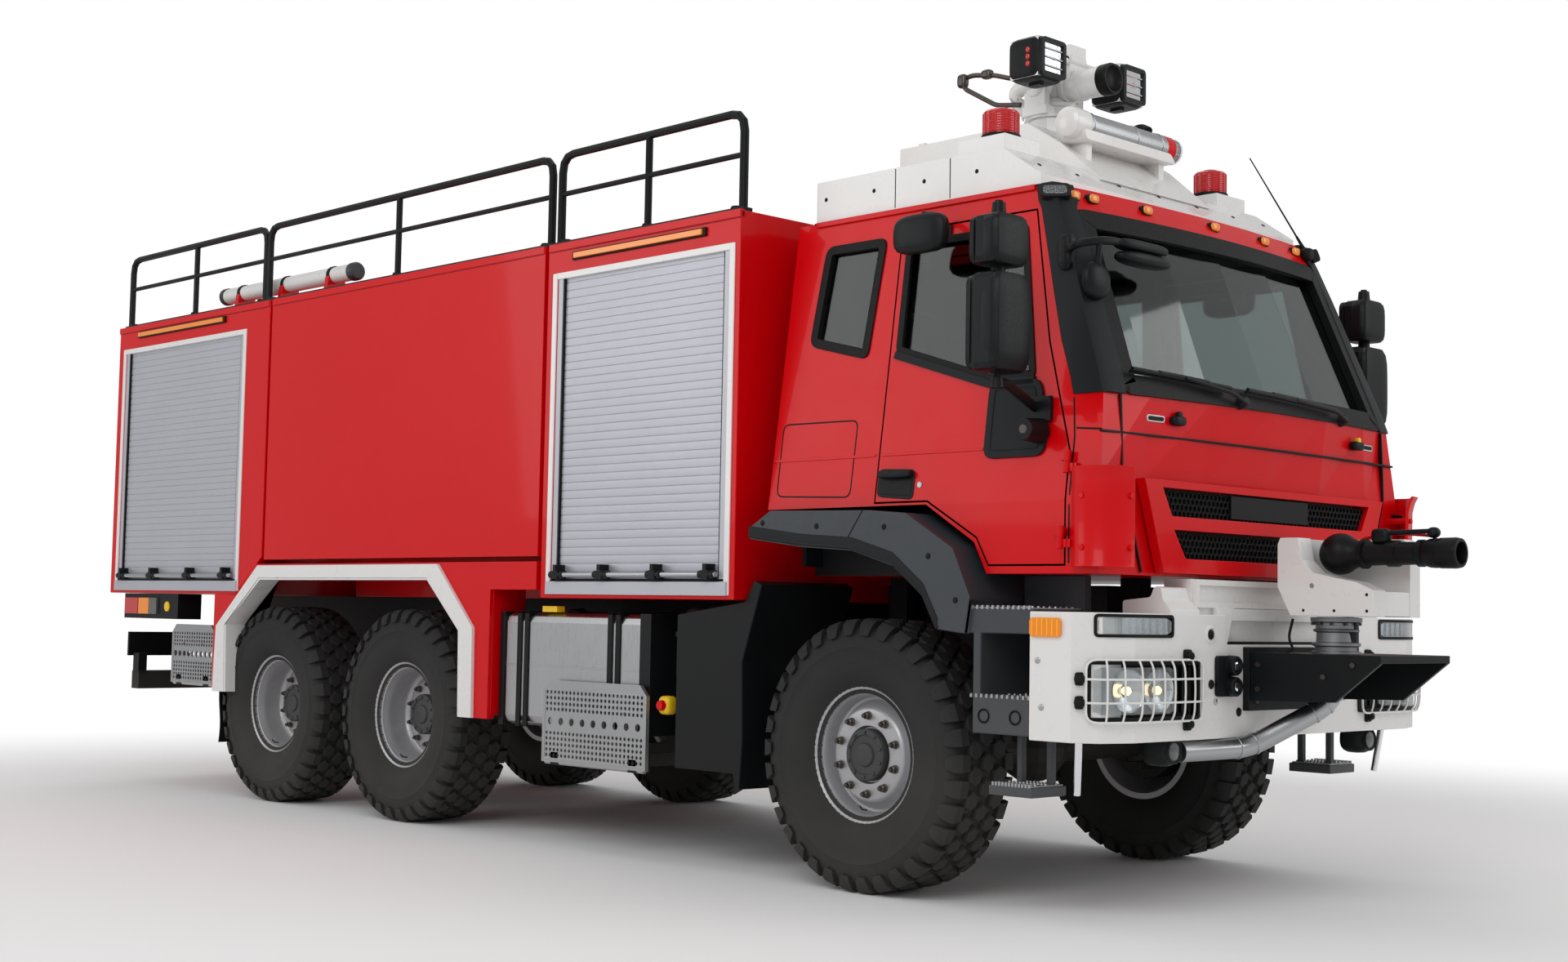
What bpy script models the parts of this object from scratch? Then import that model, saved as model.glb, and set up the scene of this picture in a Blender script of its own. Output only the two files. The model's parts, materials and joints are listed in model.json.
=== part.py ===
"""Airport fire truck on three driven axles, with a roof monitor and a bumper turret.

Metres, +X forward, +Y to the left, +Z up. Lengths along X are measured from the front axle,
and the whole truck hangs on one empty that carries the middle of its length to the origin.
"""

import math

import bmesh
import bpy
from mathutils import Matrix, Vector

# ---------------------------------------------------------------- driving dimensions

GAP = 0.0003  # between faces that touch
SIDES = {"right": -1, "left": 1}

REAR_END_X = -7.01  # back of the ladder
FRONT_END_X = 2.15  # tip of the bumper turret's nozzle

AXLES_X = {"front": 0.0, "middle": -3.5, "rear": -4.88}
WHEEL_SEGMENTS = 24
WHEEL_Y = 1.005  # middle of a tyre
TYRE_RADIUS = 0.585
TREAD_HALF = 0.168
TYRE_HALF = 0.195
SEAT_RADIUS = 0.2617  # where the bead sits on the rim
SEAT_HALF = 0.127
FLANGE_RADIUS = 0.300
FLANGE = 0.010  # thickness of a rim's flange and wall
KINGPIN_Y = 0.84
DRUM_RADIUS = 0.19
AXLE_RADIUS = 0.08
DIFF_RADIUS = 0.17
NOSE = 0.30  # from an axle to its drive flange
SHAFT_Z = 0.62

RAIL_Y = (0.38, 0.46)
RAIL_Z = (0.88, 1.12)
SUBFRAME_TOP = 1.24
SPRING_Z = (0.70, 0.76)
SPRING_Y = (0.385, 0.455)
FRAME_REAR_X = -6.75
FRAME_FRONT_X = 1.15
CROSSMEMBERS_X = (-6.60, -5.50, -4.19, -3.00, -2.50, -1.60, 0.95)
CAB_MOUNTS_X = (-0.48, 0.84)

HALF_WIDTH = 1.25
BODY_TOP = 3.03
BODY_REAR_X = -6.91
BODY_JOINTS_X = (-4.91, -2.17)
BODY_FRONT_X = -0.72
BODY_JOINT = 0.03
TANK_BOTTOM = 1.45
DECK = (1.10, 0.005)  # half width and thickness of the walkway plate on the tank's roof
KEEL_HALF = 0.60
LOCKER_DEPTH = 0.60
LOCKER_Z = (1.27, 2.87)
LOCKERS_X = {"rear": (-6.80, -5.23), "front": (-2.07, -0.79)}
TAIL_BAY_X = -5.35
TAIL_BAY_HALF = 0.58
TAIL_BAY_TOP = 2.75
CURTAIN = 0.022
CURTAIN_INSET = 0.018

RAILS_X = ((-6.85, -5.07), (-5.03, -2.20), (-2.12, -0.76))
RAIL_TUBE = 0.021
RAIL_BAR = 0.014
RAIL_HEIGHT = 0.47
RAIL_LINE_Y = 1.20
KICK_STRIP = 0.018

STEPS = {"front": (-2.13, -1.33, 0.41, 0.83), "rear": (-6.04, -5.49, 0.66, 1.045)}
STEP_PIVOT_Y = 1.21
STEP_BARREL = 0.015

CAB_REAR = -0.61
CAB_NOSE = 1.24
CAB_FLOOR = 1.36
CAB_ROOF = 2.97
CAB_SHOULDER = 1.65
PANEL_TOP = 1.74
CAB_HALF = 1.15
CAB_LEAN = 0.17 / 1.30  # how far the sides lean in for each metre up
CAB_WALL = 0.06
SILL_Y = CAB_HALF - CAB_WALL - 0.005
SCREEN_FOOT = (1.215, 2.09, 0.09)  # x at the corner, z, how far the middle stands forward
SCREEN_HEAD = (0.93, 2.82, 0.09)
ROOF_EDGE = (0.86, 0.06)
ARCH_WALL_Y = 0.84
ARCH_OUTLINE = ((-0.80, 1.20), (0.72, 1.20), (0.71, 1.30), (0.61, 1.49), (0.345, 1.65), (-0.80, 1.65))
DOOR_OUTLINE = (
    (0.045, 1.66), (0.35, 1.66), (0.62, 1.505), (0.685, 1.39), (1.08, 1.39), (1.08, 1.85),
    (0.93, 2.30), (0.80, 2.87), (0.045, 2.87),
)
DOOR_GAP = 0.008
DOOR_HINGE = (1.086, 1.172)  # x and |y| of the hinge line at the shoulder
HINGES_Z = (1.50, 1.80)
HINGE_KNUCKLE = (0.014, 0.045)  # radius and length of each half of a hinge
SIDE_WINDOW = ((0.10, 2.33), (0.62, 2.17), (0.855, 2.17), (0.745, 2.80), (0.10, 2.80))
REAR_WINDOW = ((-0.43, 2.41), (-0.10, 2.33), (-0.06, 2.83), (-0.39, 2.83))
SCREEN_HALF = (0.97, 0.88)  # half width of the windscreen at its foot and head
SCREEN_Z = (2.13, 2.79)
GLASS = (0.024, 0.030)  # depth of the glass under the outer skin

BUMPER_FRONT = 1.34
BUMPER_Z = (0.71, 1.21)
BUMPER_HALF = 1.27

TURRET_X = 1.60
TURRET_FOOT_Z = 1.2103
TURRET_PIVOT = (1.62, 1.47)
MONITOR_X = 0.10
MONITOR_FOOT_Z = 3.5303
MONITOR_PIVOT_Z = 3.68

# ---------------------------------------------------------------- tools


def clear_scene():
    for obj in list(bpy.data.objects):
        bpy.data.objects.remove(obj, do_unlink=True)


def new_collection(name):
    made = bpy.data.collections.new(name)
    bpy.context.scene.collection.children.link(made)
    return made


clear_scene()
PARTS = new_collection("airport_fire_truck")
CUTTERS = new_collection("cutters")
TRUCK = bpy.data.objects.new("truck_origin", None)
TRUCK.location.x = -(REAR_END_X + FRONT_END_X) / 2
PARTS.objects.link(TRUCK)


def mesh_object(name, bm):
    """A mesh object among the cutters, where every shape waits until a part uses it."""
    mesh = bpy.data.meshes.new(name)
    bm.to_mesh(mesh)
    bm.free()
    obj = bpy.data.objects.new(name, mesh)
    CUTTERS.objects.link(obj)
    obj.parent = TRUCK
    obj.hide_render = True
    obj.display_type = "WIRE"
    return obj


def block(x, y, z):
    """A box between the limits given for each axis."""
    bm = bmesh.new()
    bmesh.ops.create_cube(bm, size=1.0)
    middle = [(min(a) + max(a)) / 2 for a in (x, y, z)]
    size = [abs(a[1] - a[0]) for a in (x, y, z)]
    bmesh.ops.scale(bm, vec=size, verts=bm.verts)
    bmesh.ops.translate(bm, vec=middle, verts=bm.verts)
    return mesh_object("block", bm)


def both(side, near, far):
    """The limits in Y of a piece that lies between two distances from the middle, on one side."""
    return (side * near, side * far)


TURN = {
    "x": Matrix.Rotation(math.pi / 2, 4, "Y"),
    "y": Matrix.Rotation(math.pi / 2, 4, "X"),
    "z": Matrix.Identity(4),
}


def drum(axis, middle, radius, length, sides=16, top=None):
    """A cylinder, or a cone with another top radius, along one axis."""
    bm = bmesh.new()
    bmesh.ops.create_cone(
        bm, cap_ends=True, segments=sides, radius1=radius, depth=length,
        radius2=radius if top is None else top,
    )
    bmesh.ops.transform(bm, matrix=Matrix.Translation(middle) @ TURN[axis], verts=bm.verts)
    return mesh_object("drum", bm)


def ball(middle, radius, scale=(1, 1, 1)):
    bm = bmesh.new()
    bmesh.ops.create_uvsphere(bm, u_segments=14, v_segments=8, radius=radius)
    bmesh.ops.scale(bm, vec=scale, verts=bm.verts)
    bmesh.ops.translate(bm, vec=middle, verts=bm.verts)
    return mesh_object("ball", bm)


def as_mesh(curve_object):
    """The curve object made a closed mesh among the cutters."""
    PARTS.objects.link(curve_object)
    bpy.context.view_layer.update()
    graph = bpy.context.evaluated_depsgraph_get()
    mesh = bpy.data.meshes.new_from_object(curve_object.evaluated_get(graph))
    bm = bmesh.new()
    bm.from_mesh(mesh)
    bmesh.ops.remove_doubles(bm, verts=bm.verts, dist=0.00001)
    bmesh.ops.transform(bm, matrix=curve_object.matrix_world, verts=bm.verts)
    bmesh.ops.recalc_face_normals(bm, faces=bm.faces)
    curve = curve_object.data
    bpy.data.objects.remove(curve_object)
    bpy.data.curves.remove(curve)
    bpy.data.meshes.remove(mesh)
    return mesh_object("shape", bm)


FACING = {
    "x": Matrix(((0, 0, 1, 0), (1, 0, 0, 0), (0, 1, 0, 0), (0, 0, 0, 1))),
    "y": Matrix(((1, 0, 0, 0), (0, 0, -1, 0), (0, 1, 0, 0), (0, 0, 0, 1))),
    "z": Matrix.Identity(4),
}


def plate(axis, outline, span):
    """A flat outline with thickness: (y, z) points along x, (x, z) along y or (x, y) along z."""
    curve = bpy.data.curves.new("plate", "CURVE")
    curve.dimensions = "2D"
    curve.fill_mode = "BOTH"
    curve.extrude = abs(span[1] - span[0]) / 2
    spline = curve.splines.new("POLY")
    spline.points.add(len(outline) - 1)
    for point, (u, v) in zip(spline.points, outline):
        point.co = (u, v, 0, 1)
    spline.use_cyclic_u = True
    obj = bpy.data.objects.new("plate", curve)
    shift = Vector((0, 0, 0))
    shift["xyz".index(axis)] = (span[0] + span[1]) / 2
    obj.matrix_world = Matrix.Translation(shift) @ FACING[axis]
    return as_mesh(obj)


def pipe(points, radius, closed=False):
    """A round bar through the points."""
    curve = bpy.data.curves.new("pipe", "CURVE")
    curve.dimensions = "3D"
    curve.bevel_depth = radius
    curve.bevel_resolution = 2
    curve.use_fill_caps = not closed
    spline = curve.splines.new("POLY")
    spline.points.add(len(points) - 1)
    for point, place in zip(spline.points, points):
        point.co = (*place, 1)
    spline.use_cyclic_u = closed
    return as_mesh(bpy.data.objects.new("pipe", curve))


def rounded(points, radius, bends=3):
    """The points with each inner corner replaced by a short arc."""
    path = [Vector(points[0])]
    for before, corner, after in zip(points, points[1:], points[2:]):
        corner = Vector(corner)
        start = corner + (Vector(before) - corner).normalized() * radius
        end = corner + (Vector(after) - corner).normalized() * radius
        for k in range(bends + 1):
            t = k / bends
            path.append((1 - t) ** 2 * start + 2 * t * (1 - t) * corner + t * t * end)
    return path + [Vector(points[-1])]


def turned(profile, place, turn, steps=WHEEL_SEGMENTS, closed=True):
    """A profile of (radius, height) points, top to bottom outside, screwed round its Z axis."""
    bm = bmesh.new()
    points = [bm.verts.new((r, 0, h)) for r, h in profile]
    for a, b in zip(points, points[1:] + points[:1] if closed else points[1:]):
        bm.edges.new((a, b))
    obj = mesh_object("turned", bm)
    obj.location = place
    obj.rotation_euler = turn
    screw = obj.modifiers.new("Screw", "SCREW")
    screw.steps = screw.render_steps = steps
    screw.use_merge_vertices = True
    screw.merge_threshold = 0.0001
    screw.use_smooth_shade = True
    return obj


def bevelled(obj, width, segments=2):
    bevel = obj.modifiers.new("Bevel", "BEVEL")
    bevel.width = width
    bevel.segments = segments
    return obj


def boolean(obj, other, operation):
    step = obj.modifiers.new(operation.title(), "BOOLEAN")
    step.operation = operation
    step.solver = "EXACT"
    step.object = other


def finish(name, colour, roughness, metallic):
    material = bpy.data.materials.new(name)
    material.use_nodes = True
    shader = material.node_tree.nodes["Principled BSDF"]
    shader.inputs["Base Color"].default_value = (*colour, 1)
    shader.inputs["Roughness"].default_value = roughness
    shader.inputs["Metallic"].default_value = metallic
    material.diffuse_color = (*colour, 1)
    return material


RED = ((0.60, 0.004, 0.006), 0.25, 0.0)
WHITE = ((0.80, 0.79, 0.77), 0.35, 0.0)
DARK = ((0.025, 0.029, 0.034), 0.6, 0.0)
GREY = ((0.07, 0.08, 0.09), 0.6, 0.0)
BLACK = ((0.012, 0.014, 0.016), 0.4, 0.3)
RUBBER = ((0.020, 0.020, 0.021), 0.85, 0.0)
SILVER = ((0.48, 0.48, 0.50), 0.35, 0.9)
STEEL = ((0.05, 0.05, 0.055), 0.5, 0.6)
GLAZING = ((0.10, 0.13, 0.14), 0.05, 0.0)
SEAT_CLOTH = ((0.03, 0.03, 0.035), 0.9, 0.0)


def part(name, look, base, join=(), cut=(), pivot=None):
    """Turns a waiting shape into a named part, with shapes joined to it and then cut from it."""
    CUTTERS.objects.unlink(base)
    PARTS.objects.link(base)
    base.name = name
    base.data.name = name
    base.hide_render = False
    base.display_type = "TEXTURED"
    base.data.materials.append(finish(name, *look))
    for other in join:
        boolean(base, other, "UNION")
    for other in cut:
        boolean(base, other, "DIFFERENCE")
    if pivot is not None:
        base.data.transform(Matrix.Translation(-Vector(pivot)))
        base.location = pivot
    return base


# ---------------------------------------------------------------- wheels and axles


def wheel_turn(side):
    """Lays a turned piece's top outwards, with one flat of its rim on the ground."""
    return (-side * math.pi / 2, math.pi / WHEEL_SEGMENTS, 0)


def tyre(name, place, side):
    tread = TYRE_RADIUS / math.cos(math.pi / WHEEL_SEGMENTS)
    bead = SEAT_RADIUS + GAP
    half = [
        (tread, TREAD_HALF), (0.520, TYRE_HALF), (0.400, TYRE_HALF), (FLANGE_RADIUS + 0.003, SEAT_HALF),
        (bead, SEAT_HALF),
    ]
    inner = [(bead, 0.100), (0.40, 0.160), (0.545, 0.150)]
    outside = [(r, -h) for r, h in half]
    inside = [(r, -h) for r, h in inner] + [(r, h) for r, h in reversed(inner)]
    profile = outside + inside + list(reversed(half))
    part(name, RUBBER, turned(profile, place, wheel_turn(side)))


def rim(name, place, side, disc):
    """A rim whose disc stands at the given height outwards from the middle of the tyre."""
    seat = SEAT_HALF + GAP
    edge = seat + FLANGE
    barrel = SEAT_RADIUS - FLANGE
    profile = [
        (0, disc + 0.110), (0.075, disc + 0.110), (0.085, disc + 0.070), (0.165, disc + 0.060),
        (0.215, disc), (barrel, disc), (barrel, seat), (SEAT_RADIUS, edge), (FLANGE_RADIUS, edge),
        (FLANGE_RADIUS, seat), (SEAT_RADIUS, seat), (SEAT_RADIUS, -seat), (FLANGE_RADIUS, -seat),
        (FLANGE_RADIUS, -edge), (SEAT_RADIUS, -edge), (barrel, -seat), (barrel, disc - 0.030),
        (0.150, disc + 0.015), (0, disc + 0.015),
    ]
    part(name, SILVER, turned(profile, place, wheel_turn(side), closed=False))


DISC = {"front": 0.045, "middle": -0.045, "rear": -0.045}
HUB_BACK = 0.015  # from the disc to the face that bolts to the hub


def wheels():
    for axle, x in AXLES_X.items():
        for word, side in SIDES.items():
            place = (x, side * WHEEL_Y, TYRE_RADIUS)
            tyre(f"tyre_{axle}_{word}", place, side)
            rim(f"rim_{axle}_{word}", place, side, DISC[axle])


def knuckle(word, side):
    """The steered hub: a fork round the kingpin, the brake drum and the stub that carries the rim."""
    stub_end = WHEEL_Y + DISC["front"] + HUB_BACK - GAP
    base = drum("y", (0, side * 0.95, TYRE_RADIUS), DRUM_RADIUS, 0.10)
    arms = [
        block((-0.055, 0.055), both(side, 0.79, 0.93), z)
        for z in ((0.685 + GAP, 0.725), (0.445, 0.485 - GAP))
    ]
    stub = drum("y", (0, side * (0.96 + stub_end) / 2, TYRE_RADIUS), 0.085, stub_end - 0.96)
    part(f"knuckle_{word}", STEEL, base, arms + [stub], pivot=(0, side * KINGPIN_Y, TYRE_RADIUS))


def axle_pads(x, top):
    """The seats on an axle under its springs."""
    return [
        block((x - 0.09, x + 0.09), both(side, 0.37, 0.47), (TYRE_RADIUS, top - GAP))
        for side in SIDES.values()
    ]


def front_axle():
    beam = drum("y", (0, 0, TYRE_RADIUS), AXLE_RADIUS, 1.60)
    nose = drum("x", (-NOSE / 2, 0, SHAFT_Z), 0.06, NOSE)
    bosses = [drum("z", (0, s * KINGPIN_Y, TYRE_RADIUS), 0.05, 0.20) for s in SIDES.values()]
    middle = ball((0, 0, TYRE_RADIUS), DIFF_RADIUS)
    part("axle_front", STEEL, beam, [middle, nose] + bosses + axle_pads(0, SPRING_Z[0]))


def rear_axles():
    hub_end = WHEEL_Y + DISC["rear"] + HUB_BACK - GAP
    for axle in ("middle", "rear"):
        x = AXLES_X[axle]
        beam = drum("y", (x, 0, TYRE_RADIUS), AXLE_RADIUS, 1.70)
        drums = []
        for side in SIDES.values():
            drums.append(drum("y", (x, side * 0.86, TYRE_RADIUS), DRUM_RADIUS, 0.10))
            drums.append(drum("y", (x, side * (0.88 + hub_end) / 2, TYRE_RADIUS), 0.085, hub_end - 0.88))
        joins = [ball((x, 0, TYRE_RADIUS), DIFF_RADIUS), drum("x", (x + NOSE / 2, 0, SHAFT_Z), 0.06, NOSE)]
        if axle == "middle":
            through = AXLES_X["rear"] + NOSE + GAP
            joins.append(drum("x", ((x + through) / 2, 0, SHAFT_Z), 0.04, x - through))
        part(f"axle_{axle}", STEEL, beam, joins + drums + axle_pads(x, SPRING_Z[0]))


# ---------------------------------------------------------------- frame and driveline


def outriggers():
    """Arms that hold the folding steps at each side."""
    arms = []
    for x0, x1, foot, _top in STEPS.values():
        for x in (x0 + 0.08, x1 - 0.13):
            for side in SIDES.values():
                reach = STEP_PIVOT_Y - STEP_BARREL - GAP
                arms.append(block((x, x + 0.05), both(side, 0.45, 0.52), (foot + 0.03, RAIL_Z[0] + 0.02)))
                arms.append(block((x, x + 0.05), both(side, 0.45, reach), (foot + 0.03, foot + 0.09)))
                arms.append(block((x, x + 0.05), both(side, reach - 0.06, reach), (foot, foot + 0.09)))
    return arms


def chassis_frame():
    joins = []
    for side in SIDES.values():
        line = both(side, *RAIL_Y)
        leaf = both(side, *SPRING_Y)
        joins.append(block((FRAME_REAR_X, FRAME_FRONT_X - GAP), line, RAIL_Z))
        joins.append(block((FRAME_REAR_X, -0.75), line, (RAIL_Z[1] - 0.01, SUBFRAME_TOP)))
        joins.append(block((-0.62, 0.62), leaf, SPRING_Z))
        joins += [block((x - 0.04, x + 0.04), leaf, (SPRING_Z[0], RAIL_Z[0] + 0.01)) for x in (-0.60, 0.60)]
        joins.append(block((-5.02, -3.36), leaf, (SPRING_Z[0], 0.78)))
        joins.append(block((-4.33, -4.05), leaf, (0.77, RAIL_Z[0] + 0.01)))
        joins += [block((x, x + 0.10), line, (RAIL_Z[1] - 0.01, CAB_FLOOR - GAP)) for x in CAB_MOUNTS_X]
        joins.append(block((-6.80, -6.70), line, (0.66, RAIL_Z[0] + 0.02)))
    joins += [block((x - 0.04, x + 0.04), (-0.40, 0.40), (0.93, 1.07)) for x in CROSSMEMBERS_X]
    joins.append(drum("y", (-4.19, 0, 0.74), 0.035, 0.80))
    joins.append(block((-6.85, -6.75), (-1.10, 1.10), (0.60, 0.72)))
    part("chassis_frame", STEEL, joins[0], joins[1:] + outriggers())


def powertrain():
    """Engine, gearbox, transfer case and propeller shafts, bolted together in one line."""
    mount = RAIL_Y[0] - GAP
    transfer_x = (-2.30, -1.90)
    engine = block((-0.62, 0.68), (-0.33, 0.33), (0.80, 1.33))
    joins = [block((x, x + 0.12), (-mount, mount), (0.95, 1.03)) for x in (0.0, -1.20, -2.16)]
    joins.append(block((-1.35, -0.60), (-0.20, 0.20), (0.72, 1.12)))
    joins.append(block(transfer_x, (-0.25, 0.25), (0.55, 1.04)))
    joins.append(drum("x", (-1.625, 0, 0.85), 0.04, 0.60))
    front_end = -NOSE - GAP
    rear_end = AXLES_X["middle"] + NOSE + GAP
    joins.append(drum("x", ((transfer_x[1] - 0.05 + front_end) / 2, 0, SHAFT_Z), 0.04,
                      front_end - transfer_x[1] + 0.05))
    joins.append(drum("x", ((transfer_x[0] + 0.05 + rear_end) / 2, 0, SHAFT_Z), 0.04,
                      transfer_x[0] + 0.05 - rear_end))
    part("powertrain", STEEL, engine, joins)


def side_equipment():
    """What hangs on the frame between the axles: the fuel tank and a box behind each front wheel."""
    arm = RAIL_Y[1] + GAP
    mudguard = (
        (-1.16, 0.455), (-0.76, 0.455), (-0.745, 0.385), (-0.715, 0.385), (-0.70, 0.60),
        (-0.71, 0.96), (-0.59, 1.31), (-0.64, 1.33), (-0.70, 1.235), (-1.16, 1.17),
    )
    right = SIDES["right"]
    tank = bevelled(block((-2.55, -1.36), both(right, 0.60, 1.19), (0.59, 1.165)), 0.05)
    arms = [block((x, x + 0.08), both(right, arm, 0.65), (0.98, 1.06)) for x in (-2.42, -1.60)]
    part("fuel_tank", SILVER, tank, arms)
    for word, side in SIDES.items():
        box = plate("y", mudguard, both(side, 0.60, 1.20))
        joins = [block((-1.00, -0.92), both(side, arm, 0.65), (0.98, 1.06))]
        if word == "left":
            joins.append(block((-2.55, -1.10), both(side, 0.60, 1.19), (0.59, 1.165)))
            joins.append(block((-2.42, -2.34), both(side, arm, 0.65), (0.98, 1.06)))
        part(f"side_box_{word}", DARK, box, joins)


# ---------------------------------------------------------------- superstructure


def superstructure():
    half = BODY_JOINT / 2
    floor = SUBFRAME_TOP + GAP
    low = (
        (BODY_REAR_X, floor), (-5.225, floor), (BODY_JOINTS_X[0] - half, 1.4674),
        (BODY_JOINTS_X[0] - half, BODY_TOP), (BODY_REAR_X, BODY_TOP),
    )
    rear = plate("y", low, (-HALF_WIDTH, HALF_WIDTH))
    tank = block((BODY_JOINTS_X[0] + half, BODY_JOINTS_X[1] - half), (-HALF_WIDTH, HALF_WIDTH),
                 (TANK_BOTTOM, BODY_TOP))
    keel = block((BODY_JOINTS_X[0] + half, BODY_JOINTS_X[1] - half), (-KEEL_HALF, KEEL_HALF),
                 (floor, TANK_BOTTOM + 0.02))
    deck = block((BODY_JOINTS_X[0] + 0.05, BODY_JOINTS_X[1] - 0.05), (-DECK[0], DECK[0]),
                 (BODY_TOP - 0.01, BODY_TOP + DECK[1]))
    front = block((BODY_JOINTS_X[1] + half, BODY_FRONT_X), (-HALF_WIDTH, HALF_WIDTH), (floor, BODY_TOP))
    rooms = {
        name: [block(x, both(s, HALF_WIDTH - LOCKER_DEPTH, HALF_WIDTH + 0.1), LOCKER_Z) for s in (-1, 1)]
        for name, x in LOCKERS_X.items()
    }
    bay = block((BODY_REAR_X - 0.1, TAIL_BAY_X), (-TAIL_BAY_HALF, TAIL_BAY_HALF), (LOCKER_Z[0], TAIL_BAY_TOP))
    part("body_rear", RED, rear, cut=rooms["rear"] + [bay])
    part("body_tank", RED, tank, [keel, deck])
    part("body_front", RED, front, cut=rooms["front"])


def shutters():
    outer = HALF_WIDTH - CURTAIN_INSET
    inner = outer - CURTAIN
    z = (LOCKER_Z[0] + GAP, LOCKER_Z[1] - GAP)
    for name, (x0, x1) in LOCKERS_X.items():
        for word, side in SIDES.items():
            x = (x0 + GAP, x1 - GAP)
            bar = block(x, both(side, inner - 0.01, outer + 0.01), (z[0], z[0] + 0.06))
            part(f"shutter_{name}_{word}", SILVER, block(x, both(side, inner, outer), z), [bar])
    y = (GAP - TAIL_BAY_HALF, TAIL_BAY_HALF - GAP)
    depth = BODY_REAR_X + CURTAIN_INSET
    top = TAIL_BAY_TOP - GAP
    bar = block((depth - 0.01, depth + CURTAIN + 0.01), y, (z[0], z[0] + 0.06))
    part("shutter_tail", SILVER, block((depth, depth + CURTAIN), y, (z[0], top)), [bar])


def roof_rails():
    """Three hoops on each side of the roof, with posts, a middle bar and the strip that joins them."""
    foot = BODY_TOP + GAP
    top = BODY_TOP + RAIL_HEIGHT
    for word, side in SIDES.items():
        y = side * RAIL_LINE_Y
        strip = block((RAILS_X[0][0] - 0.03, RAILS_X[-1][1] + 0.03), (y - 0.03, y + 0.03),
                      (foot, foot + KICK_STRIP))
        joins = []
        for x0, x1 in RAILS_X:
            corners = [(x0, y, foot + 0.01), (x0, y, top), (x1, y, top), (x1, y, foot + 0.01)]
            joins.append(pipe(rounded(corners, 0.09), RAIL_TUBE))
            middle = (x0 + x1) / 2
            post = top - foot - 0.01
            joins.append(drum("z", (middle, y, top - post / 2), RAIL_TUBE - 0.003, post, 8))
            joins.append(drum("x", (middle, y, foot + 0.27), RAIL_BAR, x1 - x0, 8))
        part(f"roof_rails_{word}", BLACK, strip, joins)


def wheel_arches():
    """The red skirt round the two rear wheels with the white edge that frames the opening."""
    low = SUBFRAME_TOP - GAP
    opening = [
        (-2.815, 0.61), (-2.83, 1.067), (-3.14, 1.34), (-4.92, 1.34), (-5.32, 1.05), (-5.30, 0.66),
    ]
    skirt = [
        (-5.48, 0.66), (-5.48, low), (-5.215, low), (-4.99, 1.41), (-2.31, 1.41), (-2.31, 1.28),
        (-2.58, 1.28), (-2.58, 0.61),
    ]
    edge = [(-5.44, 0.64), (-5.42, 1.045), (-4.94, 1.412), (-3.05, 1.412), (-2.71, 1.08), (-2.70, 0.60)]
    inner = [
        (-2.812, 0.60), (-2.827, 1.065), (-3.138, 1.337), (-4.922, 1.337), (-5.323, 1.048), (-5.303, 0.64),
    ]
    for word, side in SIDES.items():
        base = plate("y", skirt + opening, both(side, 1.21, HALF_WIDTH))
        frame = plate("y", edge + inner, both(side, 1.24, HALF_WIDTH + 0.012))
        hangers = [
            block((x, x + 0.10), both(side, 1.15, 1.22), (1.35, TANK_BOTTOM - GAP))
            for x in (-4.80, -3.70, -2.50)
        ]
        part(f"wheel_arch_{word}", RED, base, [frame] + hangers)


def folding_steps():
    for name, (x0, x1, foot, top) in STEPS.items():
        for word, side in SIDES.items():
            pivot = (0.5 * (x0 + x1), side * STEP_PIVOT_Y, foot + STEP_BARREL)
            barrel = drum("x", pivot, STEP_BARREL, x1 - x0, 12)
            panel = block((x0, x1), both(side, STEP_PIVOT_Y, STEP_PIVOT_Y + 0.024), (pivot[2], top))
            lip_y = both(side, STEP_PIVOT_Y - 0.012, STEP_PIVOT_Y + 0.020)
            lip = block((x0, x1), lip_y, (top - 0.02, top + 0.002))
            part(f"step_{name}_{word}", SILVER, panel, [barrel, lip], pivot=pivot)


def rear_ladder():
    x = REAR_END_X + 0.02
    lines = (0.70, 1.08)
    joins = [drum("z", (x, y, 2.15), 0.02, 2.60, 10) for y in lines]
    middle = sum(lines) / 2
    joins += [drum("y", (x, middle, 0.98 + 0.30 * k), 0.014, lines[1] - lines[0], 8) for k in range(9)]
    wall = BODY_REAR_X - GAP
    joins += [drum("x", ((x + wall) / 2, y, z), 0.016, wall - x, 8) for y in lines for z in (1.35, 2.1, 2.9)]
    part("rear_ladder", SILVER, joins[0], joins[1:])


# ---------------------------------------------------------------- cab


def half_width(z):
    return CAB_HALF - max(0.0, z - CAB_SHOULDER) * CAB_LEAN


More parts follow.
